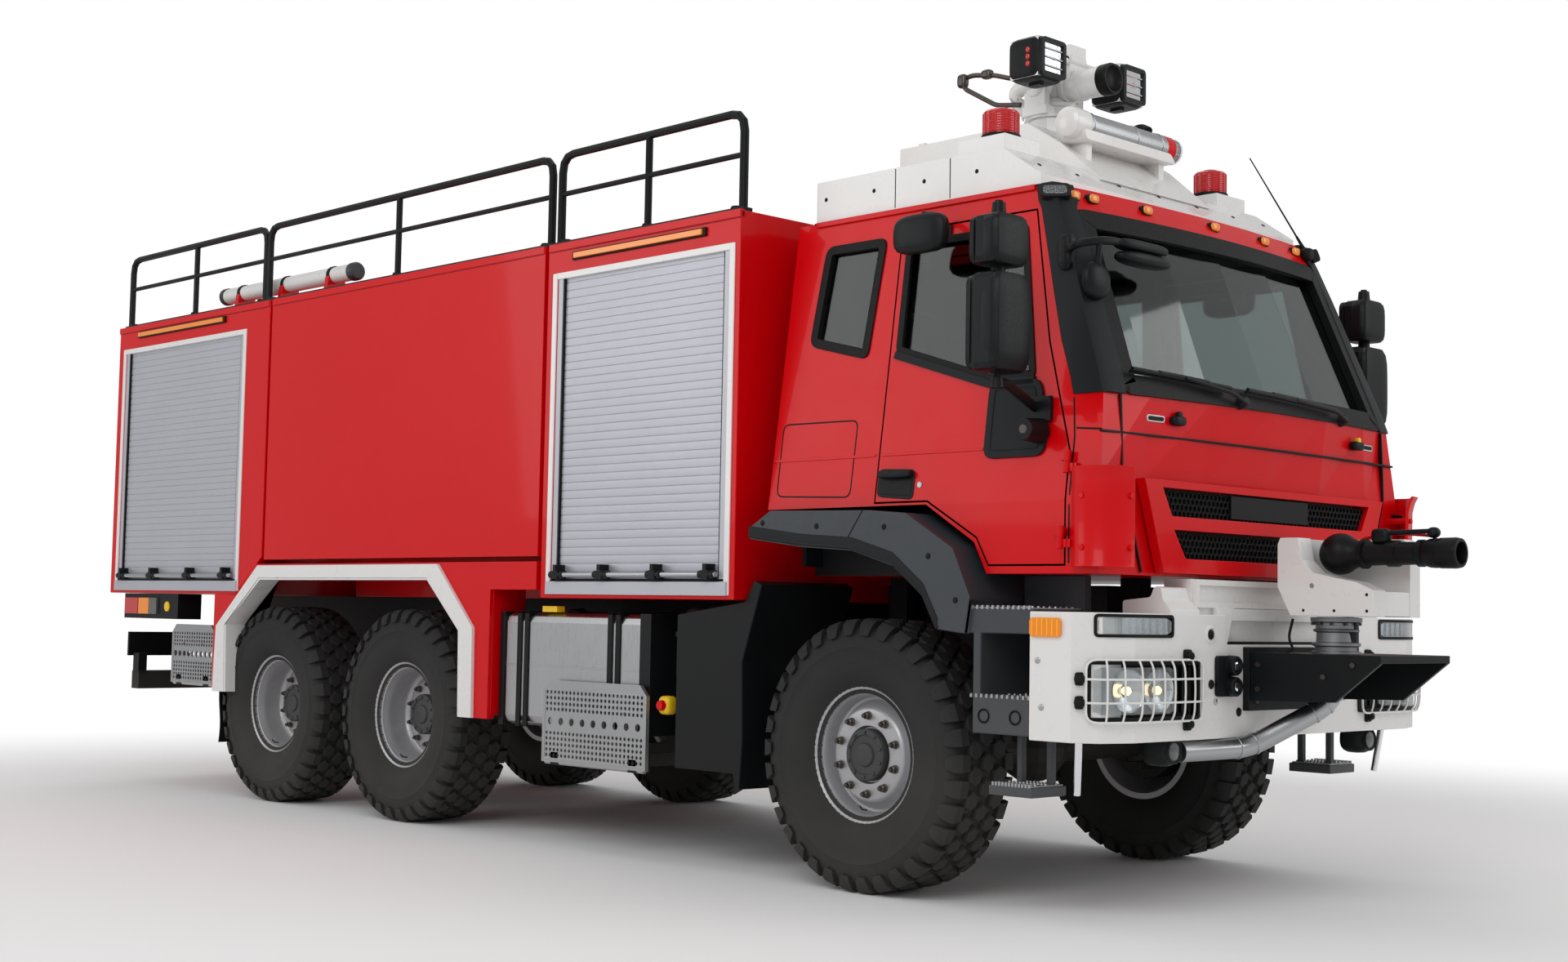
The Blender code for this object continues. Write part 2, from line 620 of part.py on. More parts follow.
def cab_form(depth):
    """The cab's closed outer form, or the same form that far under its skin."""
    front = CAB_NOSE - depth
    outline = [
        (CAB_REAR + depth, CAB_FLOOR + depth, 0), (front, CAB_FLOOR + depth, 0),
        (front, CAB_SHOULDER, 0), (front, PANEL_TOP, 0),
        (SCREEN_FOOT[0] - depth, SCREEN_FOOT[1], SCREEN_FOOT[2]),
        (SCREEN_HEAD[0] - depth, SCREEN_HEAD[1] - depth * 0.3, SCREEN_HEAD[2]),
        (ROOF_EDGE[0] - depth, CAB_ROOF - depth, ROOF_EDGE[1]),
        (CAB_REAR + depth, CAB_ROOF - depth, 0), (CAB_REAR + depth, CAB_SHOULDER, 0),
    ]
    shares = (-1.0, -0.75, -0.4, 0.0, 0.4, 0.75, 1.0)
    bm = bmesh.new()
    rings = []
    for share in shares:
        ring = []
        for x, z, bulge in outline:
            y = share * (half_width(z) - depth)
            ring.append(bm.verts.new((x + bulge * (1 - share * share), y, z)))
        rings.append(ring)
    count = len(outline)
    for near, far in zip(rings, rings[1:]):
        for k in range(count):
            n = (k + 1) % count
            bm.faces.new((near[k], near[n], far[n], far[k]))
    for ring in (rings[0], rings[-1]):
        bm.faces.new([ring[k] for k in (0, 1, 2, 8)])
        bm.faces.new(ring[2:])
    bmesh.ops.recalc_face_normals(bm, faces=bm.faces)
    return mesh_object("cab_form", bm)


def inset(outline, gap):
    """A counter-clockwise outline with every edge moved inwards by the gap."""
    points = [Vector(p) for p in outline]
    moved = []
    for k, corner in enumerate(points):
        arriving = (corner - points[k - 1]).normalized()
        leaving = (points[(k + 1) % len(points)] - corner).normalized()
        inward = Vector((-arriving.y, arriving.x))
        turning = arriving.x * leaving.y - arriving.y * leaving.x
        slide = gap * (1 - arriving.dot(leaving)) / turning if abs(turning) > 0.001 else 0
        moved.append(tuple(corner + inward * gap - arriving * slide))
    return moved


def cab_openings():
    """The shapes that cut the doors, the windscreen and the quarter windows through the cab's walls."""
    shapes = []
    above_arch = [(x, max(z, DOOR_OUTLINE[0][1])) for x, z in DOOR_OUTLINE if z > CAB_SHOULDER]
    above_arch.insert(2, (DOOR_OUTLINE[4][0], DOOR_OUTLINE[0][1]))
    for side in SIDES.values():
        shapes.append(plate("y", DOOR_OUTLINE, both(side, SILL_Y, 1.40)))
        shapes.append(plate("y", above_arch, both(side, 0.70, 1.40)))
        shapes.append(plate("y", REAR_WINDOW, both(side, 0.70, 1.40)))
    shapes.append(screen_prism(0))
    return shapes


def screen_prism(less):
    foot, head = SCREEN_HALF
    low, high = SCREEN_Z
    outline = (
        (-foot + less, low + less), (foot - less, low + less),
        (head - less, high - less), (-head + less, high - less),
    )
    return plate("x", outline, (0.60, 1.50))


def hinge_halves(side, on_door):
    """Two half hinges on the leaning hinge line, with the arms that carry them on the door or the pillar."""
    radius, length = HINGE_KNUCKLE
    x, line = DOOR_HINGE
    lean = side * math.atan(CAB_LEAN)
    shapes = []
    for z in HINGES_Z:
        middle_z = z + (length / 2 + GAP if on_door else -length / 2)
        y = side * (line - (middle_z - CAB_SHOULDER) * CAB_LEAN)
        knuckle_half = drum("z", (0, 0, 0), radius, length, 12)
        knuckle_half.location = (x, y, middle_z)
        knuckle_half.rotation_euler.x = lean
        tall = (middle_z - 0.016, middle_z + 0.016)
        skin = half_width(middle_z)
        outer = (x - 0.030, x) if on_door else (x, x + 0.030)
        foot = (x - 0.045, x - 0.015) if on_door else (x + 0.015, x + 0.045)
        arm = block(outer, both(side, skin + 0.006, abs(y)), tall)
        shapes += [knuckle_half, arm, block(foot, both(side, skin - 0.02, abs(y) - 0.004), tall)]
    return shapes


def cab():
    arches = [plate("y", ARCH_OUTLINE, both(s, ARCH_WALL_Y, 1.30)) for s in SIDES.values()]
    lifted = [(x + (0.03 if x > 0 else 0), z + 0.045) for x, z in ARCH_OUTLINE]
    walls = [plate("y", lifted, both(s, ARCH_WALL_Y - 0.04, 1.30)) for s in SIDES.values()]
    room = cab_form(CAB_WALL)
    for wall in walls:
        boolean(room, wall, "DIFFERENCE")
    pillars = hinge_halves(-1, False) + hinge_halves(1, False)
    shell = part("cab_shell", RED, cab_form(0), cut=arches + [room] + cab_openings())
    for half_hinge in pillars:
        boolean(shell, half_hinge, "UNION")
    for word, side in SIDES.items():
        door(word, side)
    screen = cab_form(GLASS[0])
    boolean(screen, screen_prism(GAP), "INTERSECT")
    part("windscreen", GLAZING, screen, cut=[cab_form(GLASS[1])])


def door(word, side):
    """The door with its glass and mirrors, which all swing on the hinge line at the front pillar."""
    hinge = (DOOR_HINGE[0], side * DOOR_HINGE[1], CAB_SHOULDER)
    leaf = cab_form(0)
    boolean(leaf, plate("y", inset(DOOR_OUTLINE, DOOR_GAP), both(side, 0.70, 1.40)), "INTERSECT")
    hole = plate("y", SIDE_WINDOW, both(side, 0.70, 1.40))
    sill = block((0.50, 1.20), both(side, 0.60, CAB_HALF - CAB_WALL), (1.20, 1.60))
    door_leaf = part(f"door_{word}", RED, leaf, cut=[cab_form(CAB_WALL), sill, hole], pivot=hinge)
    for half_hinge in hinge_halves(side, True):
        boolean(door_leaf, half_hinge, "UNION")
    glass = cab_form(GLASS[0])
    boolean(glass, plate("y", inset(SIDE_WINDOW, GAP), both(side, 0.70, 1.40)), "INTERSECT")
    part(f"door_glass_{word}", GLAZING, glass, cut=[cab_form(GLASS[1])], pivot=hinge)
    mirrors(word, side, hinge)


def mirrors(word, side, hinge):
    """The main and wide-angle mirrors on one tube that stands off the door."""
    y = side * 1.40
    housing = bevelled(block((0.86, 1.00), both(side, 1.28, 1.50), (2.14, 2.53)), 0.03)
    wide = bevelled(block((0.86, 1.00), both(side, 1.29, 1.49), (2.56, 2.76)), 0.03)
    foot_y = side * (half_width(1.97) + GAP)
    tube = pipe([(0.93, y, 2.08), (0.93, y, 2.82)], 0.016)
    lower = pipe([(0.90, foot_y, 2.02), (0.93, side * 1.34, 2.10), (0.93, y, 2.10)], 0.02)
    pad = block((0.84, 0.98), (foot_y, foot_y + side * 0.02), (1.97, 2.07))
    part(f"mirrors_{word}", BLACK, housing, [wide, tube, lower, pad], pivot=hinge)


def cab_interior():
    floor = CAB_FLOOR + CAB_WALL + GAP
    for word, side in SIDES.items():
        base = block((-0.25, 0.25), both(side, 0.30, 0.76), (floor, 1.72))
        joins = [
            block((-0.30, 0.28), both(side, 0.28, 0.77), (1.70, 1.86)),
            block((-0.36, -0.22), both(side, 0.28, 0.77), (1.70, 2.40)),
            block((-0.37, -0.25), both(side, 0.38, 0.67), (2.38, 2.62)),
        ]
        part(f"seat_{word}", SEAT_CLOTH, base, joins)
    dash = block((0.82, 1.10), (-0.98, 0.98), (1.78, 2.02))
    post = block((0.90, 1.08), (-0.30, 0.30), (floor, 1.80))
    driver = 0.53
    column = pipe([(0.90, driver, 1.92), (0.62, driver, 2.02)], 0.03)
    wheel = turned([(0.235, 0.012), (0.235, -0.012), (0.21, -0.012), (0.21, 0.012)],
                   (0.62, driver, 2.02), (0, -1.15, 0), 16)
    spokes = drum("z", (0, 0, 0), 0.222, 0.012, 16)
    spokes.rotation_euler = (0, -1.15, 0)
    spokes.location = (0.62, driver, 2.02)
    part("dashboard", DARK, dash, [post, column, spokes, wheel])


def front_panel():
    x = (CAB_NOSE + GAP, 1.285)
    base = block(x, (-0.91, 0.91), (1.365, PANEL_TOP - 0.01))
    upper = block((1.262, 1.4), (-0.80, 0.80), (1.60, 1.70))
    lower = block((1.262, 1.4), (-0.72, 0.72), (1.43, 1.54))
    part("front_panel", RED, base, cut=[upper, lower])


def fenders():
    """The front wheel's guard with the entry steps in front of it, which both hang on the cab."""
    guard = (
        (-0.626, 1.515), (-0.30, 1.475), (0.013, 1.456), (0.25, 1.39), (0.424, 1.26), (0.50, 1.13),
        (0.65, 1.115), (0.675, 1.262), (0.579, 1.463), (0.32, 1.611), (0.112, 1.628), (-0.495, 1.64),
        (-0.626, 1.568),
    )
    under = CAB_FLOOR - GAP
    for word, side in SIDES.items():
        base = plate("y", guard, both(side, ARCH_WALL_Y + GAP, HALF_WIDTH))
        joins = [
            block((0.64, 0.99), both(side, 0.86, 1.23), (1.12, 1.22)),
            block((0.68, 0.99), both(side, 0.86, 0.91), (0.72, under)),
            block((0.68, 0.99), both(side, 0.86, 1.23), (0.72, 0.87)),
            block((0.68, 0.72), both(side, 0.86, 1.23), (0.80, 1.20)),
            block((0.76, 0.98), both(side, 1.00, 1.22), (0.48, 0.52)),
            block((0.78, 0.81), both(side, 1.04, 1.07), (0.50, 0.74)),
            block((0.93, 0.96), both(side, 1.04, 1.07), (0.50, 0.74)),
        ]
        part(f"fender_{word}", GREY, base, joins)


# ---------------------------------------------------------------- bumper, roof gear


def bumper():
    plan = [
        (BUMPER_FRONT, -1.05), (BUMPER_FRONT, 1.05), (1.29, 1.20), (1.20, BUMPER_HALF),
        (1.00, BUMPER_HALF), (1.00, 1.24), (FRAME_FRONT_X, 1.12), (FRAME_FRONT_X, -1.12),
        (1.00, -1.24), (1.00, -BUMPER_HALF), (1.20, -BUMPER_HALF), (1.29, -1.20),
    ]
    cuts = []
    for side in SIDES.values():
        cuts.append(block((1.31, 1.40), both(side, 0.80, 1.30), (1.12, 1.20)))
        cuts.append(block((1.30, 1.40), both(side, 0.62, 1.30), (0.80, 1.02)))
    cuts.append(block((1.30, 1.40), (-0.42, 0.42), (1.09, 1.30)))
    part("bumper", WHITE, plate("z", plan, BUMPER_Z), cut=cuts)


def turret():
    """The bumper turret: its bracket, the head that turns on it and the nozzle that tilts in it."""
    side_plate = ((1.36, 0.86), (1.75, 0.87), (1.95, 1.03), (1.95, 1.06), (1.36, 1.06))
    foot = block((BUMPER_FRONT + GAP, 1.37), (-0.30, 0.30), (0.82, 1.08))
    joins = [plate("y", side_plate, both(s, 0.26, 0.28)) for s in SIDES.values()]
    joins.append(block((1.36, 1.95), (-0.28, 0.28), (1.03, 1.06)))
    column_top = TURRET_FOOT_Z - GAP
    joins.append(drum("z", (TURRET_X, 0, (1.05 + column_top) / 2), 0.085, column_top - 1.05, 20))
    part("turret_mount", BLACK, foot, joins)
    axis = (TURRET_X, 0, TURRET_FOOT_Z)
    base = block((1.46, 1.86), (-0.20, 0.18), (TURRET_FOOT_Z, 1.33))
    cheek = ((1.46, 1.30), (1.86, 1.30), (1.86, 1.36), (1.72, 1.55), (1.52, 1.55), (1.46, 1.42))
    cheeks = [plate("y", cheek, span) for span in ((-0.20, -0.12), (0.10, 0.18))]
    part("turret_head", WHITE, base, cheeks, pivot=axis)
    px, pz = TURRET_PIVOT
    pin = drum("y", (px, -0.01, pz), 0.03, 0.22 - 2 * GAP, 12)
    barrel = drum("x", ((px + FRONT_END_X) / 2, -0.01, pz), 0.065, FRONT_END_X - px, 16, 0.045)
    part("turret_nozzle", BLACK, ball((px, -0.01, pz), 0.085), [pin, barrel], pivot=(px, 0, pz))


def roof_fairing():
    low = CAB_ROOF + GAP
    base = plate("y", ((-0.51, low), (0.80, low), (0.80, 3.02), (0.59, 3.165), (-0.51, 3.165)), (-0.97, 0.97))
    hump = plate("y", ((-0.50, 3.15), (0.70, 3.10), (0.47, 3.30), (0.28, 3.42), (-0.50, 3.42)), (-0.42, 0.42))
    stand = drum("z", (MONITOR_X, 0, (3.40 + MONITOR_FOOT_Z - GAP) / 2), 0.12, MONITOR_FOOT_Z - GAP - 3.40)
    beds = [block((0.30, 0.56), both(s, 0.68, 0.92), (3.15, 3.24)) for s in SIDES.values()]
    bottle = drum("y", (0.53, -0.05, 3.38), 0.06, 0.80)
    props = [block((0.46, 0.56), (y, y + 0.04), (3.20, 3.36)) for y in (-0.35, 0.20)]
    part("roof_fairing", WHITE, base, [hump, stand, bottle] + beds + props)


def monitor():
    axis = (MONITOR_X, 0, MONITOR_FOOT_Z)
    base = drum("z", (MONITOR_X, 0, MONITOR_FOOT_Z + 0.0225), 0.10, 0.045)
    cheeks = [
        block((MONITOR_X - 0.06, MONITOR_X + 0.06), both(s, 0.11, 0.148), (MONITOR_FOOT_Z + 0.02, 3.74))
        for s in (-1, 1)
    ]
    flange = block((MONITOR_X - 0.07, MONITOR_X + 0.07), (-0.15, 0.15),
                   (MONITOR_FOOT_Z + 0.01, MONITOR_FOOT_Z + 0.05))
    part("monitor_head", WHITE, base, [flange] + cheeks, pivot=axis)
    centre = (MONITOR_X, 0, MONITOR_PIVOT_Z)
    pin = drum("y", centre, 0.03, 0.22 - 2 * GAP, 12)
    barrel = drum("x", (MONITOR_X + 0.155, 0, MONITOR_PIVOT_Z), 0.065, 0.31)
    crown = block((MONITOR_X - 0.05, MONITOR_X + 0.14), (-0.06, 0.06), (3.70, 3.87))
    bar = drum("y", (MONITOR_X + 0.12, 0, 3.79), 0.018, 0.60, 8)
    lamps = [
        block((MONITOR_X + 0.06, MONITOR_X + 0.22), both(s, 0.22, 0.40), (3.64, 3.82)) for s in (-1, 1)
    ]
    part("monitor_barrel", WHITE, ball(centre, 0.09), [pin, barrel, crown, bar] + lamps, pivot=centre)


# ---------------------------------------------------------------- the truck

wheels()
for side_word, side_sign in SIDES.items():
    knuckle(side_word, side_sign)
front_axle()
rear_axles()
chassis_frame()
powertrain()
side_equipment()
superstructure()
shutters()
roof_rails()
wheel_arches()
folding_steps()
rear_ladder()
cab()
cab_interior()
front_panel()
fenders()
bumper()
turret()
roof_fairing()
monitor()
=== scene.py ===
"""Looks of an airport fire truck: its finishes, fittings and studio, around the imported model.

Metres, +X forward, +Y to the left, +Z up. Places along X are measured from the front axle, and
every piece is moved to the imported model's own origin when it is placed.
"""

import json
import math

import bmesh
import bpy
from mathutils import Matrix, Vector

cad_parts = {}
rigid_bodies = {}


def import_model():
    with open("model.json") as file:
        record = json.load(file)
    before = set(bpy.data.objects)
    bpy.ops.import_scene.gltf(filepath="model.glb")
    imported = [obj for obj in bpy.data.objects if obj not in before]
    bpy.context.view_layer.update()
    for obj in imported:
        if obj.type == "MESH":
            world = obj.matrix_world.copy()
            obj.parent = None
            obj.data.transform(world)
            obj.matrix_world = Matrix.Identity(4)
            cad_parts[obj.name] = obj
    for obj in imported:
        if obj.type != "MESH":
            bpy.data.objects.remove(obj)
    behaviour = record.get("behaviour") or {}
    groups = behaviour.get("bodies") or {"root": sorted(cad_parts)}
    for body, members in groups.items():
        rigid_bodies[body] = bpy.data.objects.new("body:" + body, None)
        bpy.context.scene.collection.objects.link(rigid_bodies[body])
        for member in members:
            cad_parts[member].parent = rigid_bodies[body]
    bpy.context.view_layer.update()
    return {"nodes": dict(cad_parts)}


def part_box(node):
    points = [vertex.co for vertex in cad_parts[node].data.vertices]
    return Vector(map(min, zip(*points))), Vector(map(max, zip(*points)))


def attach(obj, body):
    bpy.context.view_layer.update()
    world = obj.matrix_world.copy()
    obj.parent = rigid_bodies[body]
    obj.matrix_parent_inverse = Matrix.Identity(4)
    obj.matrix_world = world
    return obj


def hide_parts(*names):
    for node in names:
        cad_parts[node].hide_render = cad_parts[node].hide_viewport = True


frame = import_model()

bl_info = {
    "name": "Airport fire truck looks",
    "version": (1, 0, 0),
    "blender": (4, 5, 0),
    "location": "3D View > Sidebar > Fire truck",
    "description": "Finishes, fittings and a studio for an airport fire truck",
    "category": "Object",
}

SIDES = {"right": -1, "left": 1}

# Finishes that many pieces share, by what they are and how they were made
TRIM = "moulded ABS trim"
POWDER = "black powder coat"
SEAL = "black rubber seal"
STEEL = "oiled steel"
STAINLESS = "brushed stainless steel"
WHITE = "white gloss enamel"
RED = "red gloss enamel"
ALUMINIUM = "anodised aluminium"
TREAD = "galvanised tread plate"
GRILLE = "dark moulded grille"
YELLOW = "yellow enamel"
HUB_BLACK = "black hub enamel"
WIRE = "white wire enamel"
RUBBER = "tyre rubber"
LACQUER = "silver wheel lacquer"
REFLECTOR = "polished reflector"
MIRROR = "silvered mirror glass"
CAST = "cast aluminium"
CLEAR = "clear lens"
AMBER = "amber lens"
RED_LENS = "red lens"


def middle(node):
    """Middle of a node's box at rest."""
    low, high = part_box(node)
    return (Vector(low) + Vector(high)) / 2


AXLE_X = middle("rim_front_right").x  # everything along X starts here

# ---------------------------------------------------------------- colours and sizes


def linear(text):
    """Linear red, green and blue of an sRGB hex colour."""
    parts = [int(text[i:i + 2], 16) / 255 for i in (1, 3, 5)]
    return tuple(c / 12.92 if c <= 0.04045 else ((c + 0.055) / 1.055) ** 2.4 for c in parts)


def colour(text, name, description):
    return bpy.props.FloatVectorProperty(
        name=name, description=description, subtype="COLOR", size=3, min=0, max=1, default=linear(text)
    )


def length(value, name, description):
    return bpy.props.FloatProperty(name=name, description=description, unit="LENGTH", default=value)


def angle(value, name, description):
    return bpy.props.FloatProperty(name=name, description=description, unit="ROTATION", default=value)


class TruckColours(bpy.types.PropertyGroup):
    red: colour("#D2000A", "Red", "Enamel of the body, cab and doors")
    white: colour("#E6E5E3", "White", "Enamel of the bumper, fairing and monitor")
    grey: colour("#34393E", "Fender grey", "Moulded fenders and steps")
    black: colour("#121416", "Black", "Powder coat of rails, brackets and chassis")
    shutter: colour("#B9BAC2", "Shutter", "Anodised slats of the roller shutters")
    rim: colour("#B5B5B8", "Rim", "Silver lacquer of the wheels")
    rubber: colour("#1D1E20", "Rubber", "Tyres, seals and mud flaps")
    amber: colour("#F08A10", "Amber", "Lenses of markers and light bars")
    signal: colour("#C01018", "Signal red", "Lenses of beacons and tail lamps")
    dust: colour("#8C867C", "Road dust", "What settles low down")


class TruckSizes(bpy.types.PropertyGroup):
    slat_pitch: length(0.04, "Slat pitch", "Height of one slat of the roller shutters")
    grille_cell: length(0.03, "Grille cell", "Width of one cell of the grille's mesh")
    tread_depth: length(0.024, "Tread depth", "How deep the tyres' grooves are")
    camera_yaw: angle(2.3696, "Camera yaw", "Direction of view about the vertical, from +X")
    camera_pitch: angle(0.0663, "Camera pitch", "How far the camera looks up")
    camera_roll: angle(0.0182, "Camera roll", "How far the camera leans")


# ---------------------------------------------------------------- finishes


def add(tree, kind, inputs=(), **settings):
    """A node with its settings, its inputs set to values or linked from other nodes' outputs."""
    made = tree.nodes.new("ShaderNode" + kind)
    for name, value in settings.items():
        setattr(made, name, value)
    for key, value in dict(inputs).items():
        if isinstance(value, bpy.types.NodeSocket):
            tree.links.new(value, made.inputs[key])
        else:
            made.inputs[key].default_value = value
    return made


def scaled(rgb, factor):
    return tuple(min(1.0, c * factor) for c in rgb) + (1.0,)


def surface(name, rgb, roughness, metallic=0.0, coat=0.0, shade=0.06, spread=0.05,
            grain=(0.05, 0.0002), stretch=(1, 1, 1), dust=0.0, wear=None, **sockets):
    """A material with drifting colour, uneven gloss, a grain that stands up, dust low down and worn edges.

    grain is its size and depth in metres, stretch pulls it along an axis, and wear is the colour
    that shows where edges are rubbed.
    """
    material = bpy.data.materials.new(name)
    material.use_nodes = True
    tree = material.node_tree
    shader = tree.nodes["Principled BSDF"]
    place = add(tree, "TexCoord").outputs["Object"]
    pulled = add(tree, "Mapping", {"Vector": place, "Scale": stretch}).outputs[0]
    fine = add(tree, "TexNoise", {"Vector": pulled, "Scale": 1 / grain[0], "Detail": 3.0}).outputs[0]
    broad = add(tree, "TexNoise", {"Vector": place, "Scale": 1.7, "Detail": 5.0}).outputs[0]
    tint = add(tree, "Mix", {0: broad, 6: scaled(rgb, 1 - shade), 7: scaled(rgb, 1 + shade)}, data_type="RGBA")
    tint = tint.outputs[2]
    gloss = add(tree, "MapRange", {0: fine, 1: 0.3, 2: 0.7, 3: roughness - spread, 4: roughness + spread})
    gloss = gloss.outputs[0]
    if wear:
        edge = add(tree, "Bevel", {"Radius": 0.004}, samples=4).outputs[0]
        facing = add(tree, "NewGeometry").outputs["Normal"]
        same = add(tree, "VectorMath", {0: edge, 1: facing}, operation="DOT_PRODUCT").outputs["Value"]
        rubbed = add(tree, "MapRange", {0: same, 1: 0.99, 2: 0.9, 3: 0.0, 4: 1.0}).outputs[0]
        patchy = add(tree, "MapRange", {0: broad, 1: 0.4, 2: 0.65}).outputs[0]
        rubbed = add(tree, "Math", {0: rubbed, 1: patchy}, operation="MULTIPLY").outputs[0]
        tint = add(tree, "Mix", {0: rubbed, 6: tint, 7: scaled(wear, 1)}, data_type="RGBA").outputs[2]
    if dust:
        height = add(tree, "SeparateXYZ", {0: place}).outputs["Z"]
        low = add(tree, "MapRange", {0: height, 1: 1.25, 2: 0.15, 3: 0.0, 4: dust}).outputs[0]
        settled = add(tree, "Math", {0: low, 1: broad}, operation="MULTIPLY").outputs[0]
        powder = scaled(bpy.context.scene.truck_colours.dust, 1)
        tint = add(tree, "Mix", {0: settled, 6: tint, 7: powder}, data_type="RGBA").outputs[2]
        gloss = add(tree, "MapRange", {0: settled, 1: 0.0, 2: 1.0, 3: gloss, 4: 0.9}).outputs[0]
    bump = add(tree, "Bump", {"Height": fine, "Strength": 1.0, "Distance": grain[1]})
    for socket, output in (("Base Color", tint), ("Roughness", gloss), ("Normal", bump.outputs[0])):
        tree.links.new(output, shader.inputs[socket])
    shader.inputs["Metallic"].default_value = metallic
    shader.inputs["Coat Weight"].default_value = coat
    for socket, value in sockets.items():
        shader.inputs[socket.replace("_", " ").title().replace("Ior", "IOR")].default_value = value
    return material


def make_finishes(tones):
    steel = linear("#A9ABAD")
    # Two-pack enamel sprayed on aluminium panels: deep gloss under a clear coat, faintly wavy.
    surface(RED, tones.red, 0.33, coat=0.22, shade=0.03, grain=(0.14, 0.00006), coat_roughness=0.05,
            specular_ior_level=0.15)
    surface(WHITE, tones.white, 0.3, coat=0.5, shade=0.015, grain=(0.09, 0.0001), coat_roughness=0.05)
    # Glass-reinforced plastic with a gel coat in dark grey: satin, dusty low down.
    surface("moulded grey plastic", tones.grey, 0.48, shade=0.08, grain=(0.02, 0.0003), dust=0.35)
    # Powder coat baked on steel: matt, pebbled, rubbed bright on its edges.
    surface(POWDER, tones.black, 0.42, shade=0.15, grain=(0.012, 0.0002), wear=scaled(steel, 0.15)[:3],
            specular_ior_level=0.2)
    surface("chassis black enamel", scaled(tones.black, 0.8)[:3], 0.55, shade=0.2, grain=(0.02, 0.0004),
            dust=0.3, specular_ior_level=0.25)
    # Rolled and anodised aluminium: grey sheen drawn out along each slat.
    surface(ALUMINIUM, tones.shutter, 0.38, 0.35, shade=0.05, grain=(0.004, 0.0001), stretch=(0.05, 1, 1))
    surface(STAINLESS, linear("#B4B6B8"), 0.3, 1.0, shade=0.06, grain=(0.004, 0.0001),
            stretch=(1, 1, 0.05), dust=0.15)
    # Wheel lacquer over steel: pale, softly glossy, with brake dust.
    surface(LACQUER, tones.rim, 0.36, 0.6, shade=0.06, grain=(0.015, 0.0002), dust=0.3)
    # Vulcanised rubber: charcoal, matt, with dust in it.
    surface(RUBBER, tones.rubber, 0.75, shade=0.15, grain=(0.006, 0.0005), dust=0.22, specular_ior_level=0.3)
    surface(SEAL, scaled(tones.rubber, 0.5)[:3], 0.5, shade=0.1, grain=(0.01, 0.0002), specular_ior_level=0.18)
    # Laminated glass, tinted grey-green: dark, mirror-smooth and clear.
    surface("tinted laminated glass", linear("#8E9A98"), 0.03, shade=0.03, spread=0.01, grain=(0.4, 0.0001),
            transmission_weight=1.0, ior=1.45)
    # Cast hub ends under matt black enamel, and nuts left in oiled steel.
    surface(HUB_BLACK, linear("#22262A"), 0.5, shade=0.15, grain=(0.01, 0.0003), dust=0.3)
    surface(STEEL, linear("#5A5550"), 0.35, 0.9, shade=0.2, grain=(0.006, 0.0002))
    surface(REFLECTOR, linear("#E6E8EA"), 0.08, 1.0, shade=0.03, spread=0.03, grain=(0.03, 0.0006))
    surface(MIRROR, linear("#D8DDE0"), 0.02, 1.0, shade=0.02, spread=0.01, grain=(0.3, 0.0001))
    surface(YELLOW, linear("#F2C400"), 0.4, shade=0.08, grain=(0.02, 0.0002), dust=0.2)
    surface(TREAD, linear("#A9ABAD"), 0.42, 0.85, shade=0.12, grain=(0.03, 0.0003), dust=0.3,
            wear=linear("#D0D2D4"))
    surface(CAST, linear("#9A9DA0"), 0.42, 0.9, shade=0.1, grain=(0.006, 0.0004))
    surface(WIRE, linear("#E4E4E2"), 0.35, shade=0.05, grain=(0.02, 0.0001))
    surface(GRILLE, linear("#0A0B0C"), 0.45, shade=0.15, grain=(0.006, 0.0002), specular_ior_level=0.2)
    # The amber and red lenses are given a faint glow, and the prisms a lighter copy of the amber that glows
    # more: a painted glow on the lenses and a painted glint on the prisms' ribs.
    lens(AMBER, tones.amber, 0.05)
    lens("amber prism", scaled(tones.amber, 1.5)[:3], 0.15)
    lens(RED_LENS, tones.signal, 0.05)
    lens(CLEAR, linear("#DDE2E4"), transmission_weight=0.9, ior=1.49)
    lens("lit bulb", linear("#FFE2B0"), 2.5)
    surface(TRIM, linear("#1B1E20"), 0.5, shade=0.08, grain=(0.004, 0.0002), specular_ior_level=0.18)
    surface("woven seat cloth", linear("#2C3038"), 0.9, shade=0.2, grain=(0.003, 0.0006), sheen_weight=0.4)


NODE_FINISHES = {
    RED: ("body_", "cab_shell", "door_left", "door_right", "wheel_arch", "front_panel"),
    WHITE: ("bumper", "roof_fairing", "monitor", "turret_head"),
    "moulded grey plastic": ("fender",),
    POWDER: ("side_box", "roof_rails", "rear_ladder", "mirrors", "step_", "turret_mount", "turret_nozzle"),
    "chassis black enamel": ("axle", "knuckle", "chassis", "powertrain"),
    ALUMINIUM: ("shutter",),
    STAINLESS: ("fuel_tank",),
    LACQUER: ("rim",),
    RUBBER: ("tyre",),
    "tinted laminated glass": ("door_glass", "windscreen"),
    TRIM: ("dashboard",),
    "woven seat cloth": ("seat",),
}


def lens(name, rgb, glow=0.0, **sockets):
    """Clear moulded polycarbonate: deep colour, wet gloss and fine ribs that catch the light, and by the glow
    an emission of its own colour, a painted glow on the amber and red lenses.
    """
    material = surface(name, rgb, 0.12, shade=0.12, spread=0.05, grain=(0.008, 0.0006), coat=0.6, **sockets)
    shader = material.node_tree.nodes["Principled BSDF"]
    shader.inputs["Emission Color"].default_value = scaled(rgb, 1)
    # Emission by the glow: a painted glow on the amber and red lenses and the prisms, and the light of the lit
    # bulb.
    shader.inputs["Emission Strength"].default_value = glow
    return material


